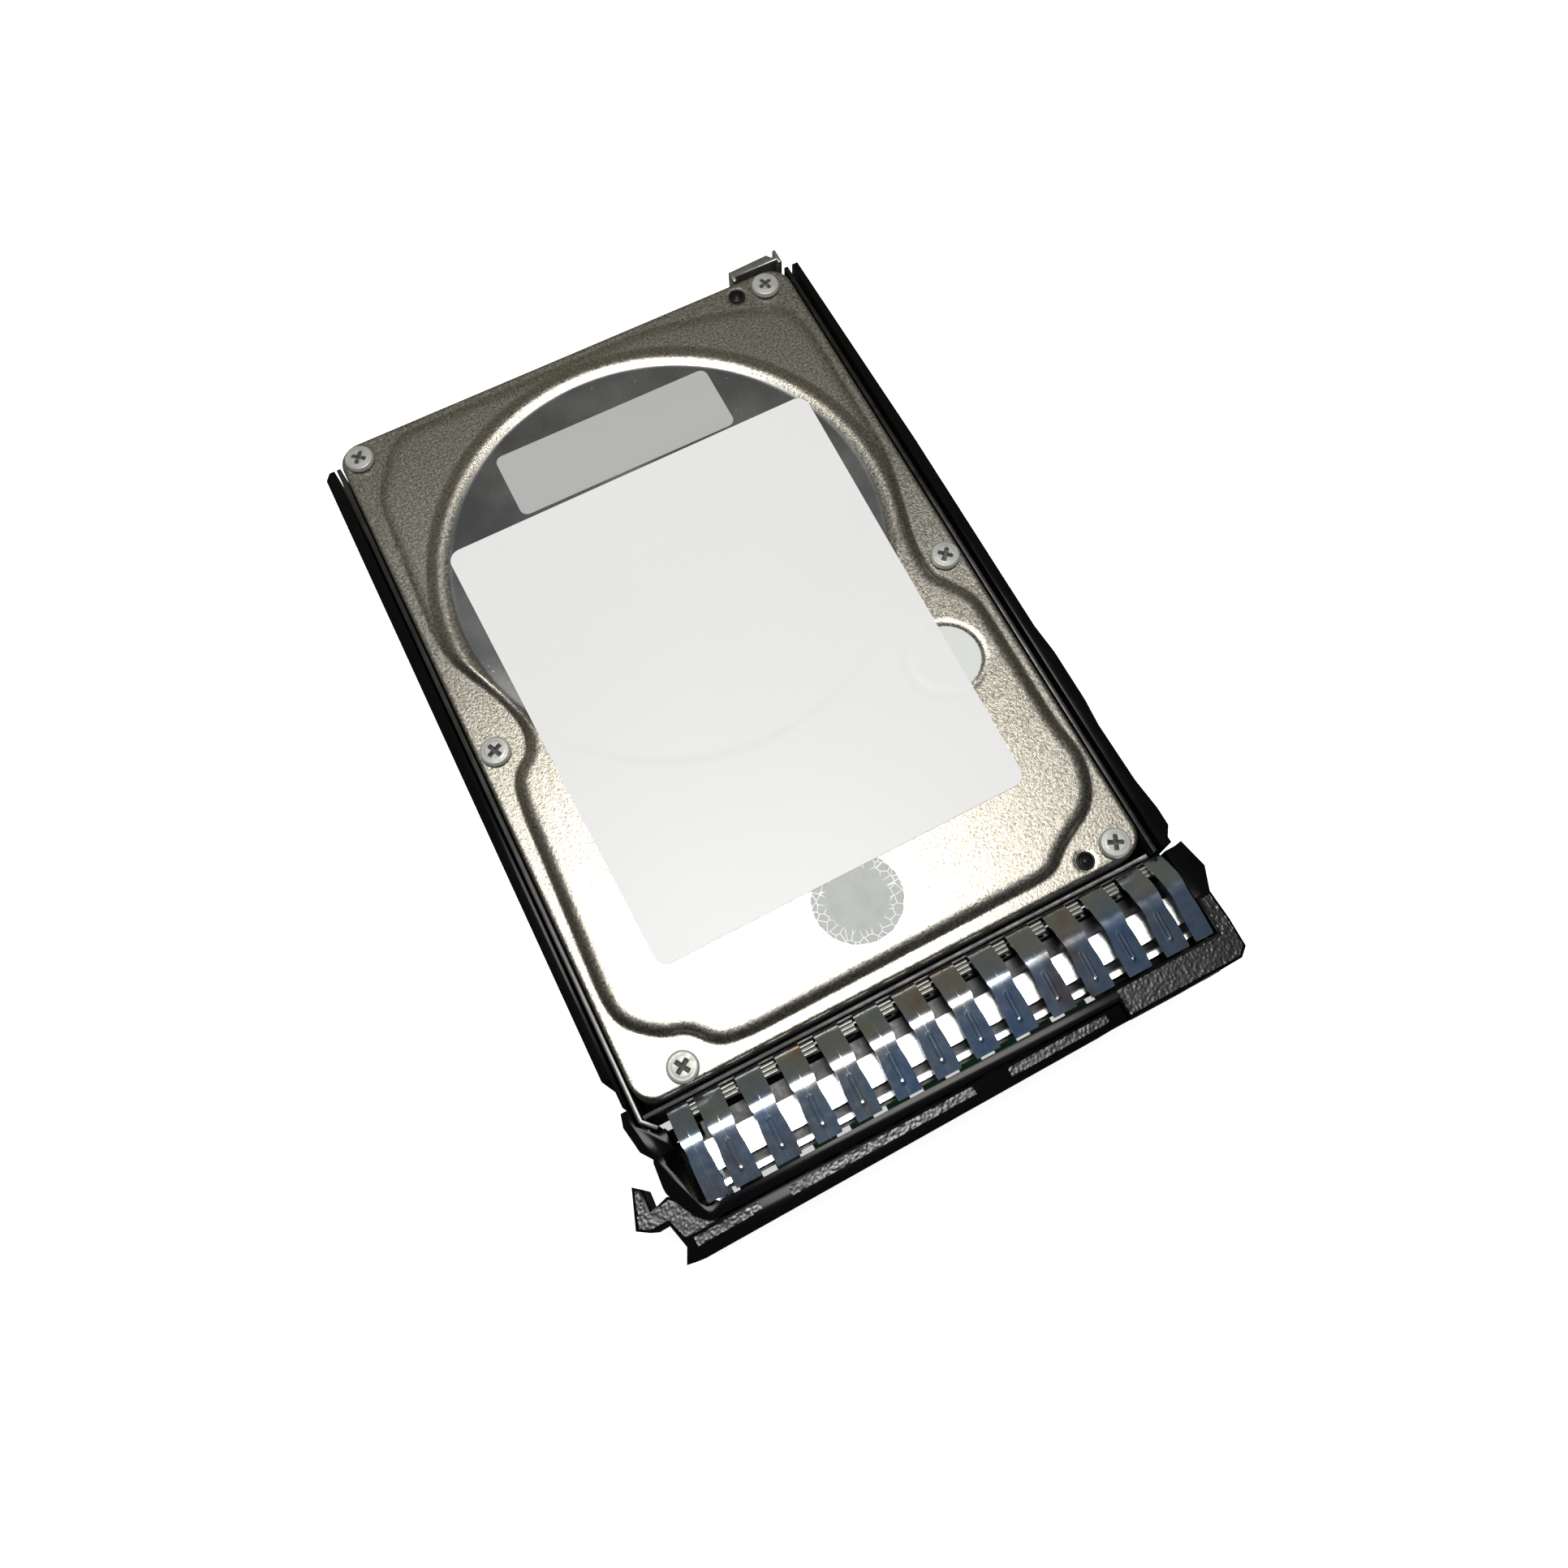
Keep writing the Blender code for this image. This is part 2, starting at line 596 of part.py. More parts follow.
def make_tray():
    """A folded sheet: floor with windows, side walls and a low front wall."""
    outside = TRAY_INSIDE + SHEET
    floor_top = TRAY_BOTTOM + SHEET
    windows = [rounded(rectangle(x, y), 3, 2) for x in WINDOW_X for y in WINDOW_Y]
    floor_outline = rectangle((-outside, outside), (TRAY_FRONT, TRAY_BACK))
    tray = plate("carrier_tray", (TRAY_BOTTOM, floor_top), floor_outline, *windows)
    left = plate("left_wall", (TRAY_BOTTOM, TRAY_WALL_TOP), [
        (-outside, 47.5), (-outside, -51.4), (-34.1, -53.1), (-33.7, -52.7),
        (-TRAY_INSIDE, -51.2), (-TRAY_INSIDE, 47.5)])
    right = box(
        "right_wall", (TRAY_INSIDE, outside), (TRAY_FRONT, TRAY_BACK), (TRAY_BOTTOM, TRAY_WALL_TOP))
    front = box("front_wall", (-35.4, 35.4), (TRAY_FRONT, TRAY_FRONT + SHEET), (TRAY_BOTTOM, -2.6))
    vents = merged("vents", [
        box("vent", (x - 1.6, x + 1.6), (-52, -50), (-12.2, -5.2)) for x in range(-30, 31, 6)])
    holes = []
    for side in (-1, 1):
        for y in SIDE_SCREW_Y:
            hole = cylinder("tray_hole", (0, 0), SIDE_HOLE_RADIUS, (-2, 2), 16)
            turn = Matrix.Rotation(math.radians(90), 4, "Y")
            hole.data.transform(Matrix.Translation(Vector((side * 35.4, y, SIDE_SCREW_Z)) * MM) @ turn)
            holes.append(hole)
    join(tray, left, right, front)
    cut(tray, vents, merged("tray_holes", holes))
    return finish(tray, STEEL, 1.0, 0.35)


def rail_screw_cutters(side, floor_x, outer_x):
    """The holes of a rail: a clearance hole, and a wider bore for the screw's head."""
    cutters = []
    for radius, low, high in ((SIDE_HOLE_RADIUS, 35.5, 40.0), (2.9, floor_x, outer_x + 2.0)):
        for y in SIDE_SCREW_Y:
            hole = cylinder("rail_hole", (0, 0), radius, (low, high), 20)
            turn = Matrix.Rotation(math.radians(90 * side), 4, "Y")
            hole.data.transform(Matrix.Translation(Vector((0, y, SIDE_SCREW_Z)) * MM) @ turn)
            cutters.append(hole)
    narrow = merged("rail_holes", cutters[:2])
    wide = merged("rail_counterbores", cutters[2:])
    return narrow, wide


def make_left_rail():
    rail = plate("left_rail", (FLOOR_Z, RAIL_TOP), [
        (LEFT_RAIL_OUTER, 46.6), (LEFT_RAIL_OUTER, -45.2), (LEFT_RAIL_INNER - 0.6, -45.2),
        (LEFT_RAIL_INNER - 0.6, -49.0), (LEFT_RAIL_INNER, -49.0), (LEFT_RAIL_INNER, 47.6),
        (LEFT_RAIL_OUTER + 0.8, 47.6)])
    foot = box(
        "left_foot", (LEFT_RAIL_OUTER + 0.4, -33.4), (-44.6, 46.0), (FLOOR_Z, TRAY_BOTTOM - GAP))
    groove = box("left_groove", (-39, LEFT_RAIL_OUTER + 0.45), (-42, 43), (-8.4, -4.4))
    join(rail, foot)
    cut(rail, groove, *rail_screw_cutters(-1, 36.6, 37.6))
    return finish(rail, BLACK_PLASTIC, 0.0, 0.4)


def make_right_rail():
    rail = plate("right_rail", (FLOOR_Z, RAIL_TOP), [
        (37.4, 49.5), (RIGHT_RAIL_INNER, 49.5), (RIGHT_RAIL_INNER, -51.0), (37.9, -51.0),
        (37.9, -50.2), (38.8, -48.9), (38.8, -46.4), (38.3, -42.0), (38.15, -33.5), (38.45, -29.5),
        (38.45, -22.0), (38.05, -17.5), (38.05, 15.0)])
    foot = box("right_foot", (33.4, 37.2), (-48.0, 48.0), (FLOOR_Z, TRAY_BOTTOM - GAP))
    groove = box("right_groove", (37.6, 40), (-30, 44), (-8.4, -4.4))
    join(rail, foot)
    cut(rail, groove, *rail_screw_cutters(1, 37.1, 38.0))
    return finish(rail, BLACK_PLASTIC, 0.0, 0.4)


def make_drive_screws():
    """Four flat screws through rail and tray into the drive's side holes."""
    names = iter(("drive_screw_left_rear", "drive_screw_left_front",
                  "drive_screw_right_rear", "drive_screw_right_front"))
    for side, head in ((-1, 37.45), (1, 37.85)):
        for y in SIDE_SCREW_Y:
            screw = turned(next(names), (0, 0), [
                (0, head), (2.2, head), (2.5, head - 0.25), (2.5, head - 0.45),
                (SIDE_SCREW_RADIUS, head - 0.45), (SIDE_SCREW_RADIUS, 32.4), (0, 32.4)], 20)
            screw.rotation_euler = (0, math.radians(90 * side), 0)
            screw.location = Vector((0, y, SIDE_SCREW_Z)) * MM
            finish(screw, (0.35, 0.35, 0.36), 1.0, 0.35)


def grille_cutter(name, y):
    """A row of upright air slots."""
    slots = []
    for i in range(GRILLE_SLOTS):
        x = GRILLE_FIRST_X + GRILLE_PITCH * i
        slots.append(box("slot", (x - 1.3, x + 1.3), y, (-12.4, -3.4)))
    return merged(name, slots)


def make_bezel():
    """The front frame: grille plate, latch block, cheeks and the covers over the hinge."""
    bezel = box("front_bezel", (-30.6, 22), (PLATE_FRONT, PLATE_BACK), (FLOOR_Z, BEZEL_TOP))
    block = plate("latch_block", (FLOOR_Z, BEZEL_TOP), [
        (21.5, PLATE_BACK), (21.5, BLOCK_FRONT), (37.4, BLOCK_FRONT), (38.6, -66.2),
        (38.7, -62.4), (38.5, -58.4), (36.5, -58.4), (36.5, PLATE_BACK)])
    inner_block = box("inner_block", (23, 38), (PLATE_BACK - 0.4, -61.8), (-14, -3.5))
    cheek = plate("right_cheek", (FLOOR_Z, BEZEL_TOP - 0.4), [
        (36.5, -51.6), (37.9, -51.6), (39.0, -51.4), (39.9, -55.4), (38.6, -58.6), (36.5, -58.6)])
    wedge = plate("left_cheek", (FLOOR_Z, -0.3), [
        (-37.1, -49.5), (-37.5, -51.1), (-37.0, -54.2), (-33.6, -54.2), (-33.2, -53.3),
        (-34.2, -53.5), (-36.15, -51.6), (-36.15, -49.5)])
    wedge_cap = plate("left_cap", (-0.5, BEZEL_TOP), [
        (-37.1, -49.5), (-37.5, -51.1), (-36.9, -54.5), (-35.8, -56.0), (-33.3, -55.8),
        (-33.2, -53.3), (-34.2, -53.5), (-36.15, -51.6), (-36.15, -49.5)])
    outer_edge = [
        (-36.0, -55.6), (-36.3, -59.9), (-34.4, -63.5), (-33.1, -64.75), (-32.3, -64.9), (-30.0, -64.9)]
    top_arm = plate("hinge_cover", (-0.4, BEZEL_TOP), rounded(outer_edge + [
        (-30.0, -63.4), (-32.7, -63.4), (-33.6, -61.9), (-33.8, -60.0), (-34.8, -57.2),
        (-34.6, -55.6)], 0.7, 2))
    bottom_arm = plate("hinge_floor", (FLOOR_Z, -15.9), rounded(outer_edge + [
        (-30.0, -62.2), (-32.7, -62.2), (-32.7, -54.0), (-36.2, -54.0)], 0.5, 2))
    crossbar = box("crossbar", (-34, 37), (-54.2, -53.4), (-5.0, -3.4))
    crossfoot = box("crossfoot", (-34, 37), (-54.2, -53.4), (-12.4, -10.8))
    pin_hole = cylinder("pin_hole", LEVER_PIVOT, PIN_HOLE_RADIUS, (-18, -2), 16)
    pocket = box(
        "button_pocket", (BUTTON_X[0] - 0.35, BUTTON_X[1] + 0.35), (-70, -62.6),
        (BUTTON_Z[0] - 0.35, BUTTON_Z[1] + 0.35))
    light_hole = box("light_hole", (34.9, 36.9), (-70, -60), (-10.8, -5.2))
    join(bezel, block, inner_block, cheek, wedge, wedge_cap, top_arm, bottom_arm, crossbar, crossfoot)
    cut(bezel, grille_cutter("bezel_grille", (-66, -62)), pin_hole, pocket, light_hole)
    return finish(bezel, BLACK_PLASTIC, 0.0, 0.5)


def make_latch_lever():
    """The handle across the front, with its hook and its hinge boss."""
    lever = plate("latch_lever", (-15.9, BEZEL_TOP - 0.1), [
        (-37.4, -67.9), (-36.3, -68.1), (21.2, -67.3), (21.2, -65.2), (-32.0, -65.2),
        (-36.4, -65.9)])
    hook = plate("hook", (-12.0, -0.8), [
        (-36.6, -66.2), (-37.5, -62.8), (-39.7, -62.9), (-41.1, -62.0), (-39.5, -57.4),
        (-38.7, -58.1), (-38.8, -60.9), (-36.3, -60.2), (-33.2, -62.8), (-31.6, -63.2),
        (-31.2, -65.6), (-33.0, -66.0)])
    boss = cylinder("hinge_boss", LEVER_PIVOT, 1.4, (-12.0, -0.8), 24)
    hole = cylinder("lever_hole", LEVER_PIVOT, PIN_HOLE_RADIUS, (-18, 2), 16)
    join(lever, hook, boss)
    cut(lever, hole, grille_cutter("lever_grille", (-70, -62)))
    return finish(lever, BLACK_PLASTIC, 0.0, 0.5, LEVER_AXIS)


def coil_points(centre, radius, low, high, turns, axis):
    """Points along a helix, eight to a turn."""
    count = turns * 8
    points = []
    for i in range(count + 1):
        angle = 2 * math.pi * i / 8
        along = low + (high - low) * i / count
        a, b = radius * math.cos(angle), radius * math.sin(angle)
        if axis == "z":
            points.append((centre[0] + a, centre[1] + b, along))
        else:
            points.append((centre[0] + a, along, centre[1] + b))
    return points


def make_latch_hardware():
    pin = turned("lever_pin", LEVER_PIVOT, [
        (0, -0.6), (PIN_RADIUS, -0.6), (PIN_RADIUS, -16.2), (0, -16.2)], 16)
    finish(pin, BRIGHT_STEEL, 1.0, 0.25)
    spring = wire("lever_spring", coil_points(LEVER_PIVOT, 0.95, -15.5, -12.5, 3, "z"), 0.16)
    finish(spring, STEEL, 1.0, 0.3)
    button = box("release_button", BUTTON_X, (BUTTON_FRONT, BUTTON_BACK), BUTTON_Z)
    soften(button, 0.35, 2)
    finish(button, BLACK_PLASTIC, 0.0, 0.35, BUTTON_AXIS)
    middle = (sum(BUTTON_X) / 2, sum(BUTTON_Z) / 2)
    button_spring = wire("button_spring", coil_points(middle, 1.8, -64.8, -62.9, 3, "y"), 0.16)
    finish(button_spring, STEEL, 1.0, 0.3)


def finger_profile():
    """A finger seen from the side: flat root, rounded bend, long front slope."""
    top = [(-51.4, -2.6), (-51.4, -1.2), (-51.7, -0.9), (-54.4, 0.75), (-55.2, 1.1),
           (-56.0, 1.2), (-56.9, 1.05), (-63.1, 0.2)]
    under = []
    for i, (y, z) in enumerate(top):
        before = Vector(top[max(i - 1, 0)])
        after = Vector(top[min(i + 1, len(top) - 1)])
        along = (after - before).normalized()
        under.append((y - along.y * SHIELD_SHEET, z + along.x * SHIELD_SHEET))
    return top + under[::-1]


def finger_spans():
    """The left and right edge of each finger, from left to right."""
    lefts = [FIRST_WIDE_FINGER + FINGER_PITCH * i for i in range(12)]
    return [END_FINGERS[0], *[(x, x + FINGER_WIDTH) for x in lefts], END_FINGERS[1]]


def make_shield(name, mirrored):
    """A row of fourteen spring fingers on one folded strip."""
    fingers = [side_plate("finger", span, finger_profile()) for span in finger_spans()]
    shield = merged(name, fingers)
    strip = box("strip", (-32.4, 36.05), (-51.62, -51.38), (-4.6, -2.2))
    join(shield, strip)
    if mirrored:
        flip = Matrix.Translation((0, 0, 2 * SHIELD_MIRROR_Z * MM)) @ Matrix.Scale(-1, 4, (0, 0, 1))
        for mesh in (shield.data, strip.data):
            mesh.transform(flip)
            mesh.flip_normals()
    return finish(shield, BRIGHT_STEEL, 1.0, 0.12)


def make_inner_shield():
    """The bright strip under the gaps between the fingers, with its row of windows."""
    windows = []
    for i in range(12):
        x = FIRST_WIDE_FINGER + FINGER_WIDTH + 0.1 + FINGER_PITCH * i
        windows.append(box("window", (x - 0.5, x + 2.4), (-61.4, -60.2), (-4, -2)))
    shield = side_plate("shield_inner_strip", (-29.4, 35.6), [
        (-62.6, -3.0), (-57.0, -3.0), (-56.6, -3.3), (-56.6, -5.4), (-56.8, -5.4), (-56.8, -3.4),
        (-57.1, -3.2), (-62.6, -3.2)])
    cut(shield, merged("strip_windows", windows))
    return finish(shield, BRIGHT_STEEL, 1.0, 0.12)


def make_indicator_parts():
    board = box("led_board", (-26, 36.2), (-61.2, -54.8), (-8.6, -7.8))
    finish(board, BOARD_GREEN, 0.0, 0.4)
    pipe = box("light_pipe", LIGHT_PIPE_X, (-67.3, -61.5), (-10.5, -5.5))
    soften(pipe, 0.2)
    finish(pipe, (0.75, 0.80, 0.78), 0.0, 0.2)
    flex = box("flex_cable", (36.0, 36.2), (-50.4, 48.6), (-8.6, -2.0))
    finish(flex, (0.50, 0.24, 0.05), 0.0, 0.4)


def make_rear_clip():
    """The folded shell of the indicator contacts, behind the drive's right corner."""
    clip = plate("rear_contact_clip", (-12.0, -0.1), [
        (27.4, 50.5), (27.4, 52.3), (33.8, 52.6), (34.3, 51.9), (34.8, 51.8), (34.9, 52.9),
        (35.4, 52.9), (35.4, 50.5), (34.8, 50.5), (34.8, 51.2), (28.0, 51.2), (28.0, 50.5)])
    return finish(clip, STEEL, 1.0, 0.3)


def build():
    make_base()
    make_cover()
    make_gasket()
    make_cover_screws()
    make_cover_plugs()
    make_labels()
    make_disk_pack()
    make_motor_stator()
    make_actuator()
    make_voice_coil_motor()
    make_drive_fittings()
    make_logic_board()
    make_connector()
    make_tray()
    make_left_rail()
    make_right_rail()
    make_drive_screws()
    make_bezel()
    make_latch_lever()
    make_latch_hardware()
    make_shield("shield_fingers_top", False)
    make_shield("shield_fingers_bottom", True)
    make_inner_shield()
    make_indicator_parts()
    make_rear_clip()


build()
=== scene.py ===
"""Looks of the hard disk drive and its hot-swap carrier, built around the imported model.

Shapes are in millimetres in the drive's own coordinates: x = 0 and y = 0 are the middle
of the drive, +y runs to the connector and z = 0 is the top of the cover's flange.
"""
import json
import math

import bmesh
import bpy
import numpy as np
from mathutils import Matrix, Vector, noise


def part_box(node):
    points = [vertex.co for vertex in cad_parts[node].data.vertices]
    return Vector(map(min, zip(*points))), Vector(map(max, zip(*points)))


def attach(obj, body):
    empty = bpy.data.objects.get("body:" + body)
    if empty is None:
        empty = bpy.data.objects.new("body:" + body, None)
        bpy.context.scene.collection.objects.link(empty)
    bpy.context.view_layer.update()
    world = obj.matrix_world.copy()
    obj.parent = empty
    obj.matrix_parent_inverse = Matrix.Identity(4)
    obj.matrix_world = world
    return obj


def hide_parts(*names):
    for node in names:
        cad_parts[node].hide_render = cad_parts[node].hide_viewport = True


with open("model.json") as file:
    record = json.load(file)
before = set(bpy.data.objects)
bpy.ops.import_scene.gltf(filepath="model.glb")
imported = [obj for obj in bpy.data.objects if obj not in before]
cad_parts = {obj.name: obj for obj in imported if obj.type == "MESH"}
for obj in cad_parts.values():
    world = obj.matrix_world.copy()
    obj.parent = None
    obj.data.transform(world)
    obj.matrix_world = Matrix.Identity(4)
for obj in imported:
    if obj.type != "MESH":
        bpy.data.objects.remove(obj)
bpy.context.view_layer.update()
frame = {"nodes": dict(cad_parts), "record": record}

MM = 0.001
NODES = frame["nodes"]
COVER_SHEET = 0.6

base_low, base_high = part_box("hdd_base")
cover_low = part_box("top_cover")[0]
ORIGIN = Vector((
    (base_low.x + base_high.x) / 2, (base_low.y + base_high.y) / 2, cover_low.z + COVER_SHEET * MM))

HALF_WIDTH = (base_high.x - base_low.x) / 2 / MM
HALF_LENGTH = (base_high.y - base_low.y) / 2 / MM
CORNER_RADIUS = 3.2
FLOOR_Z = -16.4

# The raised ring on the cover, and the smooth disc inside it
BEAD_CENTRE = (-0.1, 14.8)
BEAD_RADIUS = 31.0
BEAD_HALF_WIDTH = 1.6
BEAD_RISE = 0.42
DISC_EDGE = 29.75
DISC_HEIGHT = 0.30

# The raised area of the cover, with its notches round the screws
PLATEAU_ROUNDING = 3.0
PLATEAU_HEIGHT = 0.28
FRONT_EXTRA_HEIGHT = 0.52
WALL_FOOT = 0.6
WALL_WIDTH = 2.1
PLATEAU = [
    (-26.5, 48.3), (12.5, 48.3), (23.5, 45.8), (31.8, 42.8), (33.0, 38.0), (33.0, 14.0),
    (29.4, 0.5), (29.2, -5.0), (31.2, -7.8), (32.9, -10.6), (32.9, -31.0), (33.7, -36.2),
    (31.7, -41.9), (25.2, -45.2), (22.6, -47.6), (-20.0, -47.9), (-23.4, -47.2),
    (-25.7, -44.2), (-29.0, -43.3), (-32.4, -40.2), (-33.2, -37.0), (-32.0, -9.2),
    (-31.2, -5.6), (-28.4, -3.6), (-27.4, 0.0), (-28.6, 5.0), (-32.9, 14.0),
    (-32.9, 21.0), (-31.9, 40.4)]

# Screws by x, y and the turn of their cross in degrees; seals by x, y and radius
SCREWS = {
    "cover_screw_1": (-32.2, 47.2, 52), "cover_screw_2": (31.0, 47.3, 17),
    "cover_screw_3": (-32.4, -1.4, 24), "cover_screw_4": (32.4, -3.3, 47),
    "cover_screw_5": (-28.3, -48.0, 31), "cover_screw_6": (31.3, -48.0, 65)}
PLUGS = {"cover_plug_rear": (26.6, 47.8), "cover_plug_front": (27.0, -48.2)}
FRONT_SEAL = (-0.5, -39.6, 5.8)
SIDE_SEAL = (25.0, -16.6, 4.6)

# The main label, which is wider at the rear than at the front
LABEL_HALF_LENGTH = 31.9
LABEL_HALF_REAR = 27.2
LABEL_HALF_FRONT = 25.7

# Spring fingers: their profile is (y, z) from the root to the tip
WIDE_FINGERS = 12
FINGER_PITCH = 5.28
FINGER_WIDTH = 3.25
FIRST_WIDE_FINGER = -28.77
END_FINGERS = ((-32.35, -29.65), (33.5, 36.0))
SHIELD_SHEET = 0.2
SHIELD_MIRROR_Z = -7.45
FINGER_PROFILE = [
    (-51.4, -2.6), (-51.4, -1.2), (-51.7, -0.9), (-54.2, 0.62), (-55.0, 0.96), (-55.7, 1.13),
    (-56.4, 1.17), (-57.2, 1.07), (-58.2, 0.92), (-63.1, 0.2)]
FINGER_LEFTS = [FIRST_WIDE_FINGER + FINGER_PITCH * i for i in range(WIDE_FINGERS)]
GAP_LEFTS = [END_FINGERS[0][1], *[left + FINGER_WIDTH for left in FINGER_LEFTS]]
BEND_Y = -55.9
RIB_X = -0.1
RIB_HALF_WIDTH = 0.26
RIB_TOP_Y = -58.0
DIMPLE_Y = -61.4

# The studio: colours as red, green and blue, lengths in metres
STUDIO_WHITE = (0.74, 0.74, 0.74)
DARK_FRONT = (0.010, 0.009, 0.008)
PALE_REAR = (0.098, 0.097, 0.077)
BLUE_CEILING = (0.034, 0.060, 0.100)
FLOOR_REACH = 6.0
FLOOR_CLEARANCE = 0.0002
CAMERA_PLACE = (-0.024007, -0.061754, 0.170165)


# ---------------------------------------------------------------- materials

def new_material(name, metallic, roughness, **sockets):
    """A material whose even values are set on the shader's own sockets."""
    material = bpy.data.materials.new(name)
    material.use_nodes = True
    shader = material.node_tree.nodes["Principled BSDF"]
    shader.inputs["Metallic"].default_value = metallic
    shader.inputs["Roughness"].default_value = roughness
    for socket, value in sockets.items():
        shader.inputs[socket.replace("_", " ")].default_value = value
    return material


def add_node(owner, kind, inputs=(), **settings):
    """A shader node of a material or a world, with links or values for its inputs."""
    node = owner.node_tree.nodes.new("ShaderNode" + kind)
    for key, value in settings.items():
        setattr(node, key, value)
    for key, value in dict(inputs).items():
        if isinstance(value, bpy.types.NodeSocket):
            owner.node_tree.links.new(value, node.inputs[key])
        else:
            node.inputs[key].default_value = value
    return node


def shader_link(material, socket, source):
    """A varying value for one socket of the shader."""
    shader = material.node_tree.nodes["Principled BSDF"]
    material.node_tree.links.new(source, shader.inputs[socket])


def object_point(material):
    """The place on the object, in metres."""
    return add_node(material, "TexCoord").outputs["Object"]


def noise_value(material, scale, detail=2.0, roughness=0.5, stretch=None):
    """Noise in the object's own space; scale is in cycles per metre."""
    point = object_point(material)
    if stretch:
        point = add_node(
            material, "Mapping", {"Vector": point, "Scale": stretch}).outputs["Vector"]
    texture = add_node(
        material, "TexNoise",
        {"Vector": point, "Scale": scale, "Detail": detail, "Roughness": roughness})
    return texture.outputs["Fac"]


def ramp(owner, value, *stops):
    """A colour ramp through (position, colour) stops."""
    node = add_node(owner, "ValToRGB", {"Fac": value})
    elements = node.color_ramp.elements
    while len(elements) < len(stops):
        elements.new(0.5)
    for element, (position, colour) in zip(elements, stops):
        element.position = position
        element.color = (*colour, 1)
    return node.outputs["Color"]


def grey_ramp(material, value, *stops):
    return ramp(material, value, *[(place, (level,) * 3) for place, level in stops])


def mix(owner, factor, first, second, blend="MIX"):
    node = add_node(owner, "Mix", data_type="RGBA", blend_type=blend)
    for socket, value in ((node.inputs[0], factor), (node.inputs[6], first), (node.inputs[7], second)):
        if isinstance(value, bpy.types.NodeSocket):
            owner.node_tree.links.new(value, socket)
        elif isinstance(value, tuple):
            socket.default_value = (*value, 1)
        else:
            socket.default_value = value
    return node.outputs[2]


def remap(owner, value, start, end, low=0.0, high=1.0):
    """Where the value is between start and end, as a number from low to high."""
    limits = {"From Min": start, "From Max": end, "To Min": low, "To Max": high}
    return add_node(owner, "MapRange", {"Value": value, **limits}).outputs["Result"]


def plan_distance(material, place):
    """How far the surface is from an upright line through a place on the drive, in metres."""
    middle = ORIGIN + Vector((*place, 0)) * MM
    flat = add_node(
        material, "VectorMath",
        {0: object_point(material), 1: (1, 1, 0)}, operation="MULTIPLY").outputs["Vector"]
    return add_node(
        material, "VectorMath",
        {0: flat, 1: (middle.x, middle.y, 0)}, operation="DISTANCE").outputs["Value"]


def add_bump(material, height, strength, distance):
    """A bump from a height; its strength is a number or a socket, its distance in millimetres."""
    bump = add_node(
        material, "Bump", {"Height": height, "Strength": strength, "Distance": distance * MM})
    shader_link(material, "Normal", bump.outputs["Normal"])


def speckled_metal(name, dark, light, roughness, grain, grain_depth):
    """Matt cast metal: every grain of it catches the light a little differently."""
    material = new_material(name, 1.0, roughness)
    fine = noise_value(material, grain, 3.0, 0.7)
    broad = noise_value(material, 60, 3.0)
    grains = ramp(material, fine, (0.30, dark), (0.72, light))
    shade = grey_ramp(material, broad, (0.25, 0.90), (0.75, 1.0))
    shader_link(material, "Base Color", mix(material, 1.0, grains, shade, "MULTIPLY"))
    rough = grey_ramp(material, fine, (0.2, roughness * 0.85), (0.8, roughness * 1.25))
    shader_link(material, "Roughness", rough)
    add_bump(material, fine, 1.0, grain_depth)
    return material


def cover_metal():
    """Speckled plating, with a smoother, greyer disc over the disks and dust on it."""
    material = new_material("cover_metal", 1.0, 0.36)
    blend = 0.15
    inside = remap(
        material, plan_distance(material, BEAD_CENTRE), (DISC_EDGE + blend) * MM, (DISC_EDGE - blend) * MM)
    fine = noise_value(material, 3000, 3.0, 0.7)
    broad = noise_value(material, 60, 3.0)
    grains = ramp(material, fine, (0.32, (0.34, 0.305, 0.245)), (0.70, (0.93, 0.88, 0.75)))
    shade = grey_ramp(material, broad, (0.25, 0.90), (0.75, 1.0))
    plating = mix(material, 1.0, grains, shade, "MULTIPLY")
    smooth_metal = ramp(material, fine, (0.3, (0.36, 0.35, 0.34)), (0.7, (0.44, 0.43, 0.41)))
    dust = add_node(material, "TexVoronoi", {"Vector": object_point(material), "Scale": 520.0})
    spots = grey_ramp(material, dust.outputs["Distance"], (0.05, 1.0), (0.09, 0.0))
    dusty = mix(material, spots, smooth_metal, (0.85, 0.86, 0.88))
    shader_link(material, "Base Color", mix(material, inside, plating, dusty))
    rough_outside = grey_ramp(material, fine, (0.2, 0.25), (0.8, 0.38))
    rough_inside = grey_ramp(material, noise_value(material, 90, 4.0), (0.3, 0.24), (0.7, 0.36))
    shader_link(material, "Roughness", mix(material, inside, rough_outside, rough_inside))
    add_bump(material, fine, remap(material, inside, 0.0, 1.0, 1.0, 0.12), 0.034)
    return material


def polished_metal(name, dark, light, roughness, streak=(1, 1, 1), metallic=1.0):
    """Bright rolled sheet, with faint streaks and handling marks."""
    material = new_material(name, metallic, roughness)
    streaks = noise_value(material, 1500, 2.0, 0.6, streak)
    marks = noise_value(material, 240, 4.0, 0.6)
    shader_link(material, "Base Color", ramp(material, marks, (0.3, dark), (0.7, light)))
    shader_link(material, "Roughness", grey_ramp(
        material, streaks, (0.3, roughness * 0.85), (0.7, roughness * 1.2)))
    add_bump(material, streaks, 0.4, 0.0005)
    return material


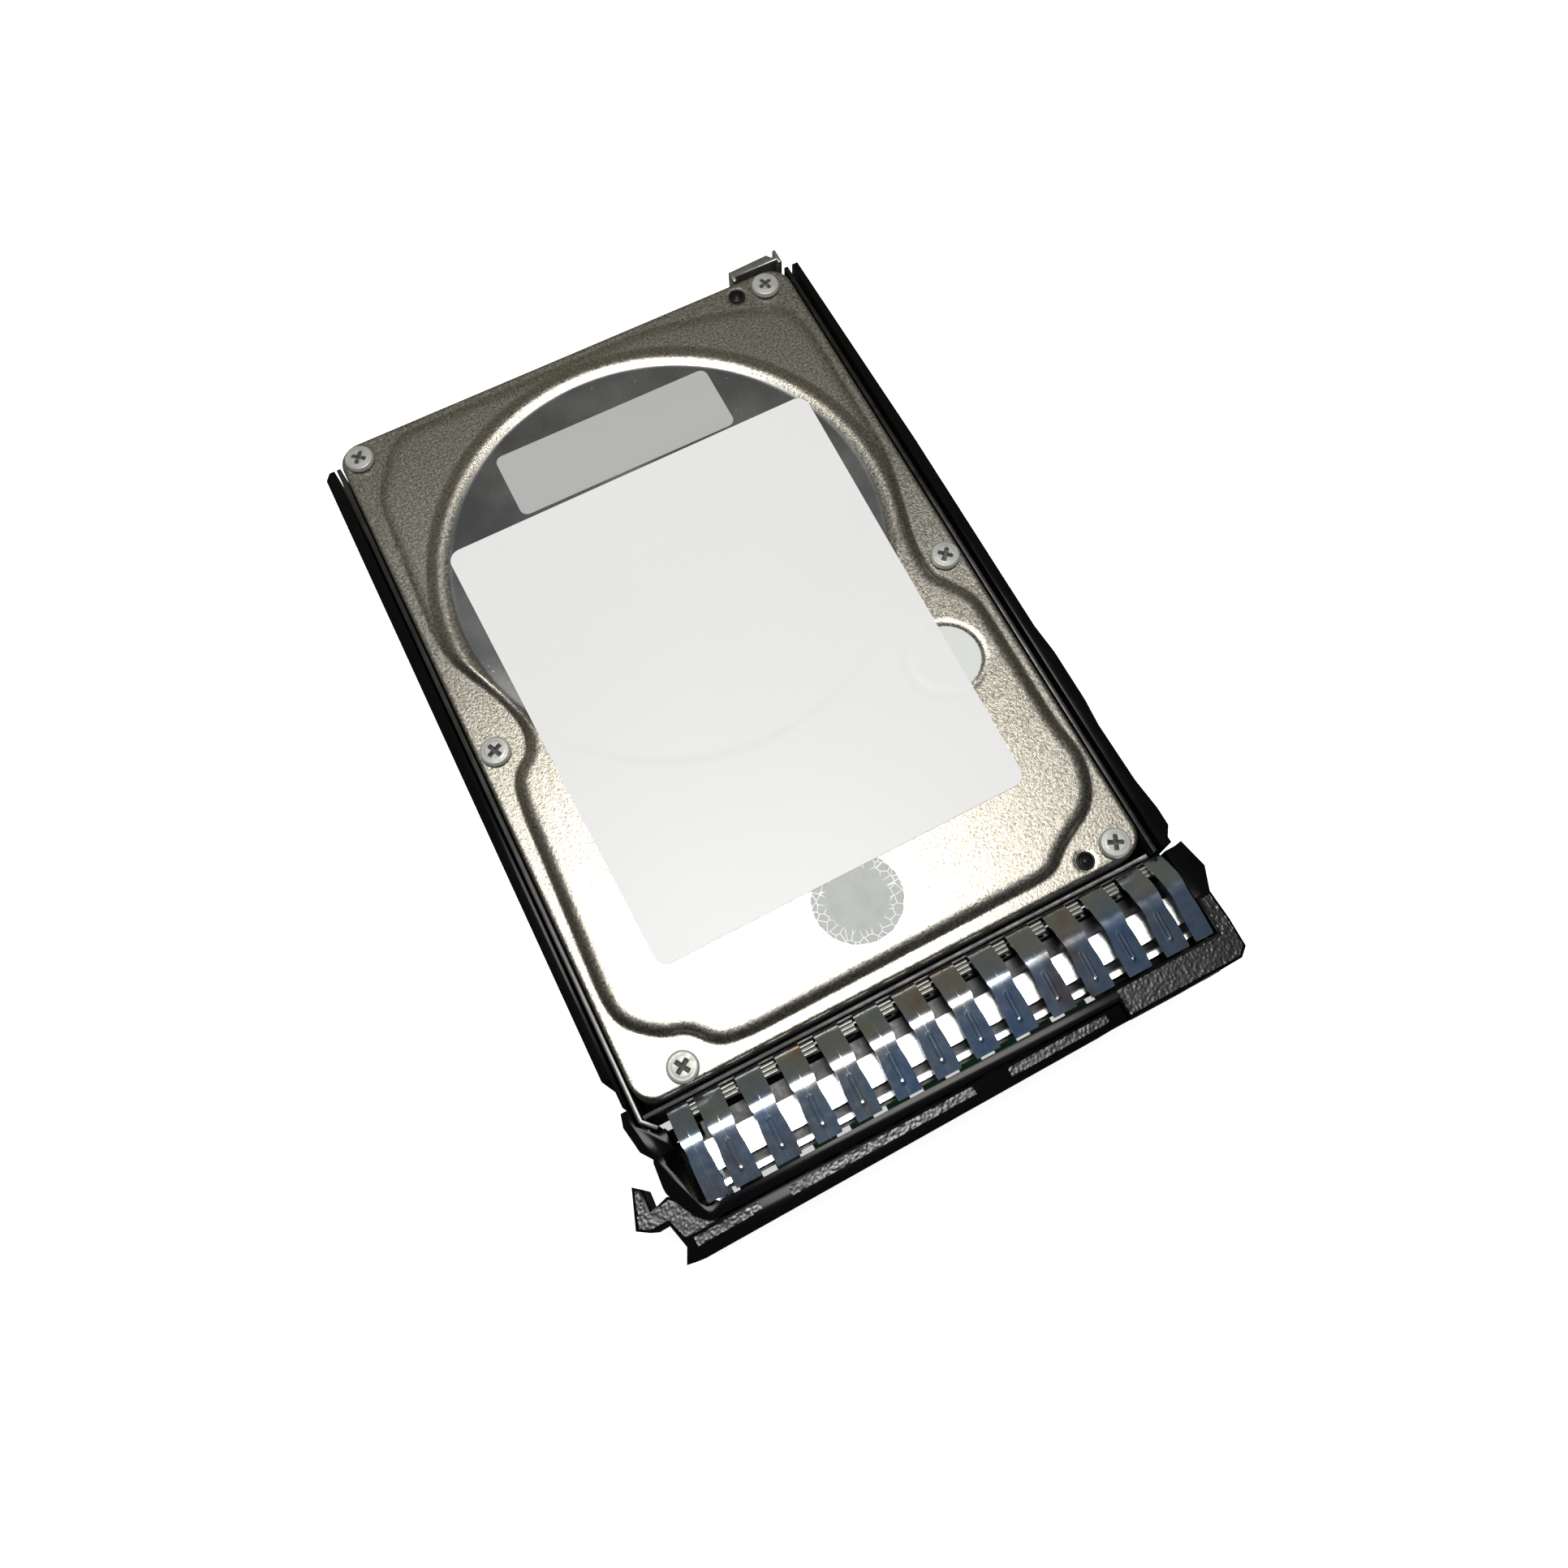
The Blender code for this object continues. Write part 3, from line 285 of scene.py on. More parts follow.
def shield_steel():
    """Mirror-bright spring steel, with blue and brown patches painted into its colour as painted
    reflections.
    """
    material = new_material("shield_steel", 1.0, 0.18)
    # Blue and brown patches in the base colour: painted reflections of the room
    painted_reflection = noise_value(material, 160, 3.0, 0.55, (1, 0.45, 1))
    colour = ramp(
        material, painted_reflection, (0.32, (0.60, 0.72, 0.90)), (0.50, (0.78, 0.82, 0.86)),
        (0.58, (0.80, 0.78, 0.74)), (0.67, (0.78, 0.54, 0.46)))
    shader_link(material, "Base Color", colour)
    smears = noise_value(material, 700, 4.0, 0.65)
    shader_link(material, "Roughness", grey_ramp(material, smears, (0.35, 0.14), (0.75, 0.20)))
    add_bump(material, smears, 0.02, 0.0005)
    return material


def moulded_plastic(name, colour, roughness, grain, depth, **sockets):
    """Plastic with the fine texture of its mould, rubbed smoother in patches."""
    material = new_material(name, 0.0, roughness, **sockets)
    broad = noise_value(material, 130, 3.0)
    fine = noise_value(material, grain, 3.0, 0.6)
    darker = tuple(channel * 0.65 for channel in colour)
    shader_link(material, "Base Color", ramp(material, fine, (0.3, darker), (0.7, colour)))
    shader_link(material, "Roughness", grey_ramp(
        material, broad, (0.3, roughness * 0.8), (0.7, min(1.0, roughness * 1.2))))
    add_bump(material, fine, 0.6, depth)
    return material


def paper(name, colour):
    """Coated paper: a smooth sheet with faint fibres under the gloss."""
    material = new_material(name, 0.0, 0.42, Coat_Weight=0.15, Coat_Roughness=0.3)
    fibres = noise_value(material, 3000, 4.0, 0.7)
    broad = noise_value(material, 45, 3.0)
    darker = tuple(channel * 0.975 for channel in colour)
    tone = ramp(material, fibres, (0.3, darker), (0.7, colour))
    shade = grey_ramp(material, broad, (0.3, 0.985), (0.7, 1.0))
    shader_link(material, "Base Color", mix(material, 1.0, tone, shade, "MULTIPLY"))
    add_bump(material, fibres, 0.3, 0.004)
    return material


def foil():
    """The front seal: thin metal foil with a matt lacquer, cracked towards its edge."""
    material = new_material("foil", 0.12, 0.5)
    radius = FRONT_SEAL[2] * MM
    worn = remap(material, plan_distance(material, FRONT_SEAL[:2]), 0.66 * radius, 0.74 * radius)
    cloud = noise_value(material, 420, 4.0)
    creases = add_node(
        material, "TexVoronoi", {"Vector": object_point(material), "Scale": 850.0},
        feature="DISTANCE_TO_EDGE")
    lines = grey_ramp(material, creases.outputs["Distance"], (0.02, 0.9), (0.05, 0.0))
    tone = ramp(material, cloud, (0.3, (0.38, 0.395, 0.375)), (0.7, (0.43, 0.445, 0.425)))
    cracked = mix(material, lines, tone, (0.88, 0.89, 0.88))
    shader_link(material, "Base Color", mix(material, worn, tone, cracked))
    add_bump(material, cloud, 0.4, 0.015)
    return material


def circuit_board():
    """Green lacquer over a grid of tracks."""
    material = new_material("circuit_board", 0.0, 0.35)
    tracks = add_node(
        material, "TexBrick",
        {"Vector": object_point(material), "Scale": 300.0, "Mortar Size": 0.04,
         "Color1": (0.010, 0.075, 0.030, 1), "Color2": (0.014, 0.10, 0.040, 1),
         "Mortar": (0.05, 0.21, 0.08, 1)})
    cloud = grey_ramp(material, noise_value(material, 300, 3.0), (0.3, 0.85), (0.7, 1.0))
    shader_link(material, "Base Color", mix(
        material, 1.0, tracks.outputs["Color"], cloud, "MULTIPLY"))
    add_bump(material, tracks.outputs["Fac"], 0.4, 0.02)
    return material


def make_materials():
    """One material for each slot, and a few for pieces that differ from their slot."""
    return {
        "cover_metal": cover_metal(),
        "casting": speckled_metal(
            "casting", (0.40, 0.40, 0.40), (0.62, 0.62, 0.61), 0.45, 2200, 0.015),
        "bright_steel": polished_metal("bright_steel", (0.62, 0.62, 0.60), (0.74, 0.74, 0.71), 0.33),
        "shield_steel": shield_steel(),
        "clip_steel": polished_metal("clip_steel", (0.50, 0.50, 0.45), (0.66, 0.66, 0.60), 0.42),
        "plate_steel": polished_metal("plate_steel", (0.84, 0.85, 0.85), (0.90, 0.91, 0.91), 0.22),
        "sheet_steel": polished_metal(
            "sheet_steel", (0.12, 0.12, 0.115), (0.20, 0.20, 0.195), 0.34, (1, 0.08, 1)),
        # A darker copy of the sheet steel: painted shade on the carrier tray where it lies under and
        # between the other parts
        "tray_shade_steel": polished_metal("tray_shade_steel", (0.05, 0.05, 0.05), (0.12, 0.12, 0.118), 0.38),
        "screw_steel": polished_metal(
            "screw_steel", (0.44, 0.45, 0.42), (0.54, 0.55, 0.51), 0.45, metallic=0.55),
        # A darker copy of the screw steel: painted shade in the screws' cross recesses
        "recess_shade_steel": polished_metal(
            "recess_shade_steel", (0.16, 0.155, 0.14), (0.24, 0.23, 0.21), 0.5, metallic=0.4),
        # Near-black steel that stands for shade: painted shade on the strip behind the fingers and on the
        # strip deep in the gaps
        "dark_steel": polished_metal("dark_steel", (0.05, 0.05, 0.05), (0.10, 0.10, 0.10), 0.4),
        "rail_plastic": moulded_plastic(
            "rail_plastic", (0.0030, 0.0034, 0.0032), 0.20, 2400, 0.003, Specular_IOR_Level=0.15),
        "bezel_plastic": moulded_plastic(
            "bezel_plastic", (0.0030, 0.0030, 0.0030), 0.14, 2000, 0.002, Specular_IOR_Level=0.15),
        "grain_plastic": moulded_plastic(
            "grain_plastic", (0.010, 0.010, 0.010), 0.30, 2000, 0.003, Specular_IOR_Level=0.9),
        "button_plastic": moulded_plastic("button_plastic", (0.006, 0.006, 0.0065), 0.35, 2200, 0.01),
        "clear_plastic": moulded_plastic(
            "clear_plastic", (0.75, 0.80, 0.78), 0.15, 900, 0.004,
            Transmission_Weight=0.85, IOR=1.49),
        "pale_plastic": moulded_plastic("pale_plastic", (0.62, 0.60, 0.52), 0.45, 1800, 0.01),
        "circuit_board": circuit_board(),
        "flex_film": moulded_plastic("flex_film", (0.10, 0.045, 0.015), 0.35, 1400, 0.004),
        "copper_wire": polished_metal(
            "copper_wire", (0.55, 0.24, 0.12), (0.76, 0.38, 0.20), 0.3, (1, 1, 6)),
        "disk_surface": polished_metal("disk_surface", (0.74, 0.74, 0.76), (0.80, 0.80, 0.82), 0.05),
        "label_paper": paper("label_paper", (0.70, 0.70, 0.70)),
        "label_grey": paper("label_grey", (0.405, 0.405, 0.405)),
        "foil": foil(),
        "pale_foil": paper("pale_foil", (0.62, 0.64, 0.61)),
        "black_rubber": moulded_plastic("black_rubber", (0.006, 0.006, 0.006), 0.4, 1500, 0.004),
        "gasket_rubber": moulded_plastic("gasket_rubber", (0.10, 0.050, 0.025), 0.55, 1600, 0.02),
        "filter_media": moulded_plastic("filter_media", (0.80, 0.80, 0.77), 0.9, 1300, 0.04),
    }


MATERIALS = make_materials()


# ---------------------------------------------------------------- mesh tools

def new_piece(name, points, faces, slot, replaced=(), body="carrier", smooth_angle=40, material=None):
    """A mesh from points in millimetres, riding on a body in place of some CAD nodes."""
    mesh = bpy.data.meshes.new(name)
    placed = np.asarray(points, float).reshape(-1, 3) * MM + np.array(ORIGIN)
    mesh.from_pydata(placed.tolist(), [], faces)
    mesh.validate()
    mesh.shade_smooth()
    mesh.set_sharp_from_angle(angle=math.radians(smooth_angle))
    mesh.materials.append(material or MATERIALS[slot])
    piece = bpy.data.objects.new(name, mesh)
    bpy.context.scene.collection.objects.link(piece)
    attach(piece, body)
    if replaced:
        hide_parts(*replaced)
    return piece


def paint_where(piece, name, chosen):
    """A second material on the faces whose centre, in drive coordinates, is chosen."""
    piece.data.materials.append(MATERIALS[name])
    for face in piece.data.polygons:
        if chosen((face.center - ORIGIN) / MM):
            face.material_index = 1


def smooth(start, end, value):
    """0 before start and 1 after end, with a smooth slope between."""
    t = np.clip((value - start) / (end - start), 0, 1)
    return t * t * (3 - 2 * t)


def inside_distance(x, y, outline):
    """How far each point is from an outline, positive inside it."""
    nearest = np.full(x.shape, 1e9)
    inside = np.zeros(x.shape, bool)
    for (x0, y0), (x1, y1) in zip(outline, outline[1:] + outline[:1]):
        dx, dy = x1 - x0, y1 - y0
        t = np.clip(((x - x0) * dx + (y - y0) * dy) / (dx * dx + dy * dy), 0, 1)
        nearest = np.minimum(nearest, np.hypot(x - x0 - t * dx, y - y0 - t * dy))
        if dy:
            inside ^= ((y0 > y) != (y1 > y)) & (x < x0 + (y - y0) * dx / dy)
    return np.where(inside, nearest, -nearest)


def rounded_outline(points, radius):
    """The outline with each corner replaced by a short smooth curve."""
    steps = 6
    result = []
    for i, corner in enumerate(points):
        here = Vector(corner)
        before = Vector(points[i - 1]) - here
        after = Vector(points[(i + 1) % len(points)]) - here
        first = here + before.normalized() * min(radius, before.length * 0.45)
        last = here + after.normalized() * min(radius, after.length * 0.45)
        for k in range(steps + 1):
            t = k / steps
            point = first * (1 - t) ** 2 + here * 2 * t * (1 - t) + last * t ** 2
            result.append((point.x, point.y))
    return result


def closed_grid(top, bottom):
    """Points and faces of a sheet between two grids of points with the same edges in plan."""
    rows, columns = top.shape[:2]
    index = np.arange(rows * columns).reshape(rows, columns)
    a, b = index[:-1, :-1].ravel(), index[:-1, 1:].ravel()
    c, d = index[1:, 1:].ravel(), index[1:, :-1].ravel()
    faces = np.stack([a, b, c, d], 1)
    below = faces[:, ::-1] + rows * columns
    rim = np.concatenate([index[0], index[1:, -1], index[-1, -2::-1], index[-2:0:-1, 0]])
    after = np.roll(rim, -1)
    walls = np.stack([rim, rim + rows * columns, after + rows * columns, after], 1)
    points = np.concatenate([top.reshape(-1, 3), bottom.reshape(-1, 3)])
    return points, np.concatenate([faces, below, walls]).tolist()


def spread(half, step, edge_lines=()):
    """Even values from -half to half, with a few more lines close to each end."""
    count = max(2, round(2 * half / step))
    inner = np.linspace(-half, half, count + 1)
    extra = [sign * (half - line) for sign in (-1, 1) for line in edge_lines]
    return np.unique(np.round(np.concatenate([inner, extra]), 4))


def rounded_grid(half_x, half_y, radius, step, edge_lines=()):
    """Grid points of a rounded rectangle: each corner square is bent into a quarter disc."""
    x, y = np.meshgrid(spread(half_x, step, edge_lines), spread(half_y, step, edge_lines))
    a = np.clip((np.abs(x) - (half_x - radius)) / radius, 0, 1)
    b = np.clip((np.abs(y) - (half_y - radius)) / radius, 0, 1)
    corner = (a > 0) & (b > 0)
    bent_x = half_x - radius + radius * a * np.sqrt(1 - b * b / 2)
    bent_y = half_y - radius + radius * b * np.sqrt(1 - a * a / 2)
    return (np.where(corner, np.sign(x) * bent_x, x), np.where(corner, np.sign(y) * bent_y, y))


def rounded_distance(x, y, half_x, half_y, radius):
    """Distance in from the edge of a rounded rectangle."""
    a = np.maximum(np.abs(x) - (half_x - radius), 0)
    b = np.maximum(np.abs(y) - (half_y - radius), 0)
    straight = np.minimum(half_x - np.abs(x), half_y - np.abs(y))
    return np.where((a > 0) & (b > 0), radius - np.hypot(a, b), straight)


def lathe(profile, centre, segments, dent=None):
    """Points and faces of a turned solid whose profile starts and ends on the axis."""
    turns = np.arange(segments) * 2 * math.pi / segments
    inner = profile[1:-1]
    points = [(centre[0], centre[1], profile[0][1])]
    for radius, z in inner:
        for turn in turns:
            x, y = radius * math.cos(turn), radius * math.sin(turn)
            points.append((centre[0] + x, centre[1] + y, z))
    points.append((centre[0], centre[1], profile[-1][1]))
    points = np.array(points)
    if dent:
        points[:, 2] -= dent(points[:, 0] - centre[0], points[:, 1] - centre[1], points[:, 2])
    last = len(points) - 1
    faces = []
    for i in range(segments):
        j = (i + 1) % segments
        faces.append((0, 1 + i, 1 + j))
        faces.append((last, last - segments + j, last - segments + i))
        for ring in range(len(inner) - 1):
            a = 1 + ring * segments
            faces.append((a + i, a + segments + i, a + segments + j, a + j))
    return points, faces


def rounded_copy(node, width, slot, body="carrier"):
    """A copy of a CAD node with its edges rounded, which stands for the node."""
    shape = bmesh.new()
    shape.from_mesh(NODES[node].data)
    bmesh.ops.remove_doubles(shape, verts=shape.verts, dist=1e-6)
    bmesh.ops.dissolve_limit(
        shape, angle_limit=math.radians(1), verts=shape.verts, edges=shape.edges)
    sharp = [edge for edge in shape.edges
             if len(edge.link_faces) == 2 and edge.calc_face_angle() > math.radians(32)]
    bmesh.ops.bevel(
        shape, geom=sharp, offset=width * MM, segments=2, profile=0.5,
        affect="EDGES", clamp_overlap=True)
    mesh = bpy.data.meshes.new(node + "_shape")
    shape.to_mesh(mesh)
    shape.free()
    mesh.shade_smooth()
    mesh.set_sharp_from_angle(angle=math.radians(38))
    mesh.materials.append(MATERIALS[slot])
    piece = bpy.data.objects.new(node + "_finished", mesh)
    bpy.context.scene.collection.objects.link(piece)
    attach(piece, body)
    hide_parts(node)
    return piece


# ---------------------------------------------------------------- drive cover

def cover_height(x, y):
    """Height of the stamped cover's top face above its flange."""
    radius = np.hypot(x - BEAD_CENTRE[0], y - BEAD_CENTRE[1])
    edge = inside_distance(x, y, rounded_outline(PLATEAU, PLATEAU_ROUNDING))
    across = np.clip((edge + WALL_FOOT) / WALL_WIDTH, 0, 1)
    raised = smooth(0, 0.35, across) * (1 - (1 - across) ** 2.4)
    height = raised * (PLATEAU_HEIGHT + FRONT_EXTRA_HEIGHT * smooth(14, 0, y))
    bead = np.clip(1 - ((radius - BEAD_RADIUS) / BEAD_HALF_WIDTH) ** 2, 0, 1) ** 1.5
    inside = smooth(BEAD_RADIUS, BEAD_RADIUS - BEAD_HALF_WIDTH, radius)
    height = height * (1 - inside) + DISC_HEIGHT * inside
    ring = (DISC_HEIGHT + BEAD_RISE * bead) * (bead > 0) * smooth(-WALL_FOOT, WALL_FOOT, edge)
    height = np.maximum(height, ring)
    groove = np.hypot(x - SIDE_SEAL[0], y - SIDE_SEAL[1]) - (SIDE_SEAL[2] + 0.55)
    height = height - 0.10 * np.exp(-(groove / 0.35) ** 2)
    for place in PLUGS.values():
        height = height - 0.08 * smooth(1.5, 1.25, np.hypot(x - place[0], y - place[1]))
    return height


def make_cover():
    """The whole cover: its pressed top, and an edge that rolls down."""
    x, y = rounded_grid(HALF_WIDTH, HALF_LENGTH, CORNER_RADIUS, 0.25, (0.05, 0.12, 0.2))
    edge = rounded_distance(x, y, HALF_WIDTH, HALF_LENGTH, CORNER_RADIUS)
    roll_radius = 0.4
    roll = roll_radius * (1 - np.sqrt(1 - np.clip(1 - edge / roll_radius, 0, 1) ** 2))
    height = cover_height(x, y)
    top = height - roll
    bottom = np.minimum(top - 0.2, height - COVER_SHEET)
    points, faces = closed_grid(np.stack([x, y, top], 2), np.stack([x, y, bottom], 2))
    new_piece("drive_cover", points, faces, "cover_metal", ["top_cover"])


def cross_recess(degrees):
    """A function that says how deep a screw's cross is at a place on its head."""
    turn = math.radians(degrees)

    def depth(dx, dy, z):
        along = np.abs(dx * math.cos(turn) + dy * math.sin(turn))
        across = np.abs(dy * math.cos(turn) - dx * math.sin(turn))
        arms = np.maximum(
            smooth(0.30, 0.20, along) * smooth(1.10, 0.85, across),
            smooth(0.30, 0.20, across) * smooth(1.10, 0.85, along))
        return arms * (1.0 - 0.55 * np.hypot(dx, dy)) * (z > 0.9)

    return depth


def make_screws():
    """Flat pan heads with a cross recess, each with its shank. The recess is painted darker as painted
    shade.
    """
    head = 1.0
    top = [(0, head)] + [(0.05 * i, head) for i in range(1, 24)]
    profile = top + [
        (1.25, 0.99), (1.35, 0.97), (1.5, 0.96), (1.65, 0.96), (1.80, 0.93), (1.90, 0.85),
        (1.96, 0.72), (2.0, 0.50), (1.97, 0.28), (1.85, 0.25), (0.82, 0.25), (0.8, -4.1),
        (0.55, -4.3), (0, -4.3)]
    for name, (x, y, degrees) in SCREWS.items():
        points, faces = lathe(profile, (x, y), 72, cross_recess(degrees))
        screw = new_piece(
            name + "_turned", points, faces, "bright_steel", [name], material=MATERIALS["screw_steel"])
        axis = Vector((x, y))
        # The faces down in the cross recess take the darker steel, as painted shade
        paint_where(screw, "recess_shade_steel", lambda place: (
            (place.xy - axis).length < 1.12 and -0.65 < place.z < 0.85))


def make_plugs():
    """Two rubber plugs with a raised rim and a nub in the middle."""
    profile = [
        (0, 0.20), (0.22, 0.18), (0.42, 0.10), (0.55, -0.02), (0.68, -0.05), (0.80, 0.08),
        (0.92, 0.24), (1.04, 0.29), (1.14, 0.25), (1.2, 0.14), (1.2, -0.04), (0.8, -0.04),
        (0.8, -0.5), (0, -0.5)]
    for name, place in PLUGS.items():
        points, faces = lathe(profile, place, 48)
        new_piece(name + "_turned", points, faces, "black_rubber", [name], smooth_angle=60)


def draped_sheet(x, y, lift, thickness, lowest=0.0):
    """A thin sheet that lies on the cover, and bridges whatever is under the lowest height."""
    top = np.maximum(cover_height(x, y), lowest) + lift
    return closed_grid(np.stack([x, y, top], 2), np.stack([x, y, top - thickness], 2))


def make_labels():
    """Blank labels. The main one is stiff enough to bridge the ring."""
    x, y = rounded_grid(LABEL_HALF_REAR, LABEL_HALF_LENGTH, 1.8, 0.5)
    along = (y + LABEL_HALF_LENGTH) / (2 * LABEL_HALF_LENGTH)
    half_width = LABEL_HALF_FRONT + (LABEL_HALF_REAR - LABEL_HALF_FRONT) * along
    placed_x = x * half_width / LABEL_HALF_REAR
    placed_y = y - 4.25 + 0.2 * x / LABEL_HALF_REAR
    points, faces = draped_sheet(placed_x, placed_y, 0.12, 0.05, lowest=0.74)
    new_piece("main_label_sheet", points, faces, "label_paper", ["main_label"], smooth_angle=60)

    x, y = rounded_grid(16.2, 5.1, 1.1, 0.4)
    points, faces = draped_sheet(x + 0.6, y + 33.5, 0.09, 0.06)
    new_piece("strip_label_sheet", points, faces, "label_grey", ["strip_label"], smooth_angle=60)


def make_seals():
    """Two round seals, partly under the main label. The front one is ragged and creased."""
    for node, (centre_x, centre_y, radius), crumple, finish in (
            ("foil_seal_front", FRONT_SEAL, 0.03, "foil"),
            ("foil_seal_side", SIDE_SEAL, 0.01, "pale_foil")):
        x, y = rounded_grid(radius, radius, radius, 0.2)
        reach = np.hypot(x, y) / radius
        angle = np.arctan2(y, x)
        ragged = 1 - crumple * 0.4 * smooth(0.7, 1.0, reach) * (
            1 + np.sin(9 * angle) * np.sin(23 * angle + 1.3))
        points, faces = draped_sheet(x * ragged + centre_x, y * ragged + centre_y, 0.03, 0.02)
        half = len(points) // 2
        for i in range(half):
            place = Vector((points[i][0], points[i][1], 0)) * 1.1
            fold = abs(noise.noise(place)) + 0.5 * abs(noise.noise(place * 2.7))
            points[i][2] += crumple * fold
            points[i + half][2] += crumple * fold
        new_piece(
            node + "_sheet", points, faces, "foil", [node], smooth_angle=60, material=MATERIALS[finish])


# ---------------------------------------------------------------- spring fingers

def resampled(path, step):
    """Points at even spacing along a path."""
    path = np.array(path, float)
    lengths = np.concatenate([[0], np.cumsum(np.hypot(*np.diff(path, axis=0).T))])
    count = max(2, round(lengths[-1] / step))
    stations = np.linspace(0, lengths[-1], count + 1)
    return np.stack([np.interp(stations, lengths, path[:, i]) for i in (0, 1)], 1)


def softened_path(path):
    """The path with its inner corners cut round three times and its ends kept."""
    for _ in range(3):
        cut = [path[0]]
        for (y0, z0), (y1, z1) in zip(path, path[1:]):
            cut.append((0.75 * y0 + 0.25 * y1, 0.75 * z0 + 0.25 * z1))
            cut.append((0.25 * y0 + 0.75 * y1, 0.25 * z0 + 0.75 * z1))
        path = cut + [path[-1]]
    return path


def finger_line():
    """The finger's profile as many points, with its bend spread out further."""
    line = resampled(softened_path(FINGER_PROFILE), 0.14)
    at_bend = np.exp(-((line[:, 0] - BEND_Y) / 1.6) ** 4)[:, None]
    reach = 11
    weights = np.exp(-np.linspace(-2, 2, 2 * reach + 1) ** 2)
    weights /= weights.sum()
    ends = np.pad(line, ((reach, reach), (0, 0)), mode="edge")
    rounder = np.stack([np.convolve(ends[:, i], weights, "valid") for i in (0, 1)], 1)
    return line * (1 - at_bend) + rounder * at_bend


def rib_emboss(x, y):
    """Height of a narrow loop along the finger, with a dimple at its lower end."""
    along = smooth(-57.6, RIB_TOP_Y, y) * smooth(-61.6, -61.2, y)
    sides = 0.026 * along * np.exp(-((np.abs(x - RIB_X) - RIB_HALF_WIDTH) / 0.08) ** 2)
    from_top = np.hypot(x - RIB_X, y - RIB_TOP_Y)
    cap = 0.020 * np.exp(-((from_top - RIB_HALF_WIDTH) / 0.08) ** 2) * (y > RIB_TOP_Y)
    dimple = 0.07 * np.exp(-(np.hypot(x - RIB_X, y - DIMPLE_Y) / 0.22) ** 2)
    return np.maximum(sides, cap) + dimple


def finger_mesh(left, right, ribbed):
    """One finger: a bent strip, narrower below its bend, with or without its rib."""
    line = finger_line()
    tangent = np.gradient(line, axis=0)
    tangent /= np.hypot(*tangent.T)[:, None]
    normal = np.stack([tangent[:, 1], -tangent[:, 0]], 1)[:, None]
    middle, half = (left + right) / 2, (right - left) / 2
    across = np.unique(np.concatenate([np.linspace(-1, 1, 9), np.arange(-0.60, 0.42, 0.05) / half]))
    y, z = line[:, :1], line[:, 1:]
    waist = 1 - 0.13 * np.exp(-((y + 57.3) / 1.5) ** 2)
    waist = np.where(y < -62.9, waist - 0.03, waist)
    offset = across * half * waist
    flat = np.zeros_like(offset)
    emboss = rib_emboss(offset, y + flat) if ribbed else flat
    top = np.stack([
        middle + offset, y + normal[:, :, 0] * emboss, z + normal[:, :, 1] * emboss], 2)
    bottom = top - SHIELD_SHEET * np.stack([flat, normal[:, :, 0] + flat, normal[:, :, 1] + flat], 2)
    return closed_grid(top[::-1], bottom[::-1])


def joined(parts):
    """Several closed shapes as one list of points and faces."""
    points, faces, start = [], [], 0
    for part_points, part_faces in parts:
        points.append(np.asarray(part_points, float))
        faces += [[corner + start for corner in face] for face in part_faces]
        start += len(part_points)
    return np.concatenate(points), faces


def strip_mesh(x, y, z):
    """A thin upright strip with rounded corners, from its limits along each axis."""
    u, v = rounded_grid((x[1] - x[0]) / 2, (z[1] - z[0]) / 2, 0.4, 0.6)
    along = (x[0] + x[1]) / 2 + u
    up = (z[0] + z[1]) / 2 + v
    front = np.stack([along, np.full_like(u, y[0]), up], 2)
    back = np.stack([along, np.full_like(u, y[1]), up], 2)
    return closed_grid(front, back)


def make_fingers():
    """The upper row of fingers with the strip they hang from, and its mirror image below."""
    spans = [END_FINGERS[0], *[(x, x + FINGER_WIDTH) for x in FINGER_LEFTS], END_FINGERS[1]]
    parts = [finger_mesh(*span, span not in END_FINGERS) for span in spans]
    parts.append(strip_mesh((-32.4, 36.05), (-51.62, -51.38), (-4.6, -2.2)))
    points, faces = joined(parts)
    upper = new_piece("spring_fingers_upper", points, faces, "shield_steel", ["shield_fingers_top"])
    # The strip the fingers hang from is painted near-black, as painted shade behind the fingers
    paint_where(upper, "dark_steel", lambda place: place.y > -51.8 and place.z < -2.1)
    mirrored = points * (1, 1, -1) + (0, 0, 2 * SHIELD_MIRROR_Z)
    flipped = [face[::-1] for face in faces]
    new_piece("spring_fingers_lower", mirrored, flipped, "shield_steel", ["shield_fingers_bottom"])


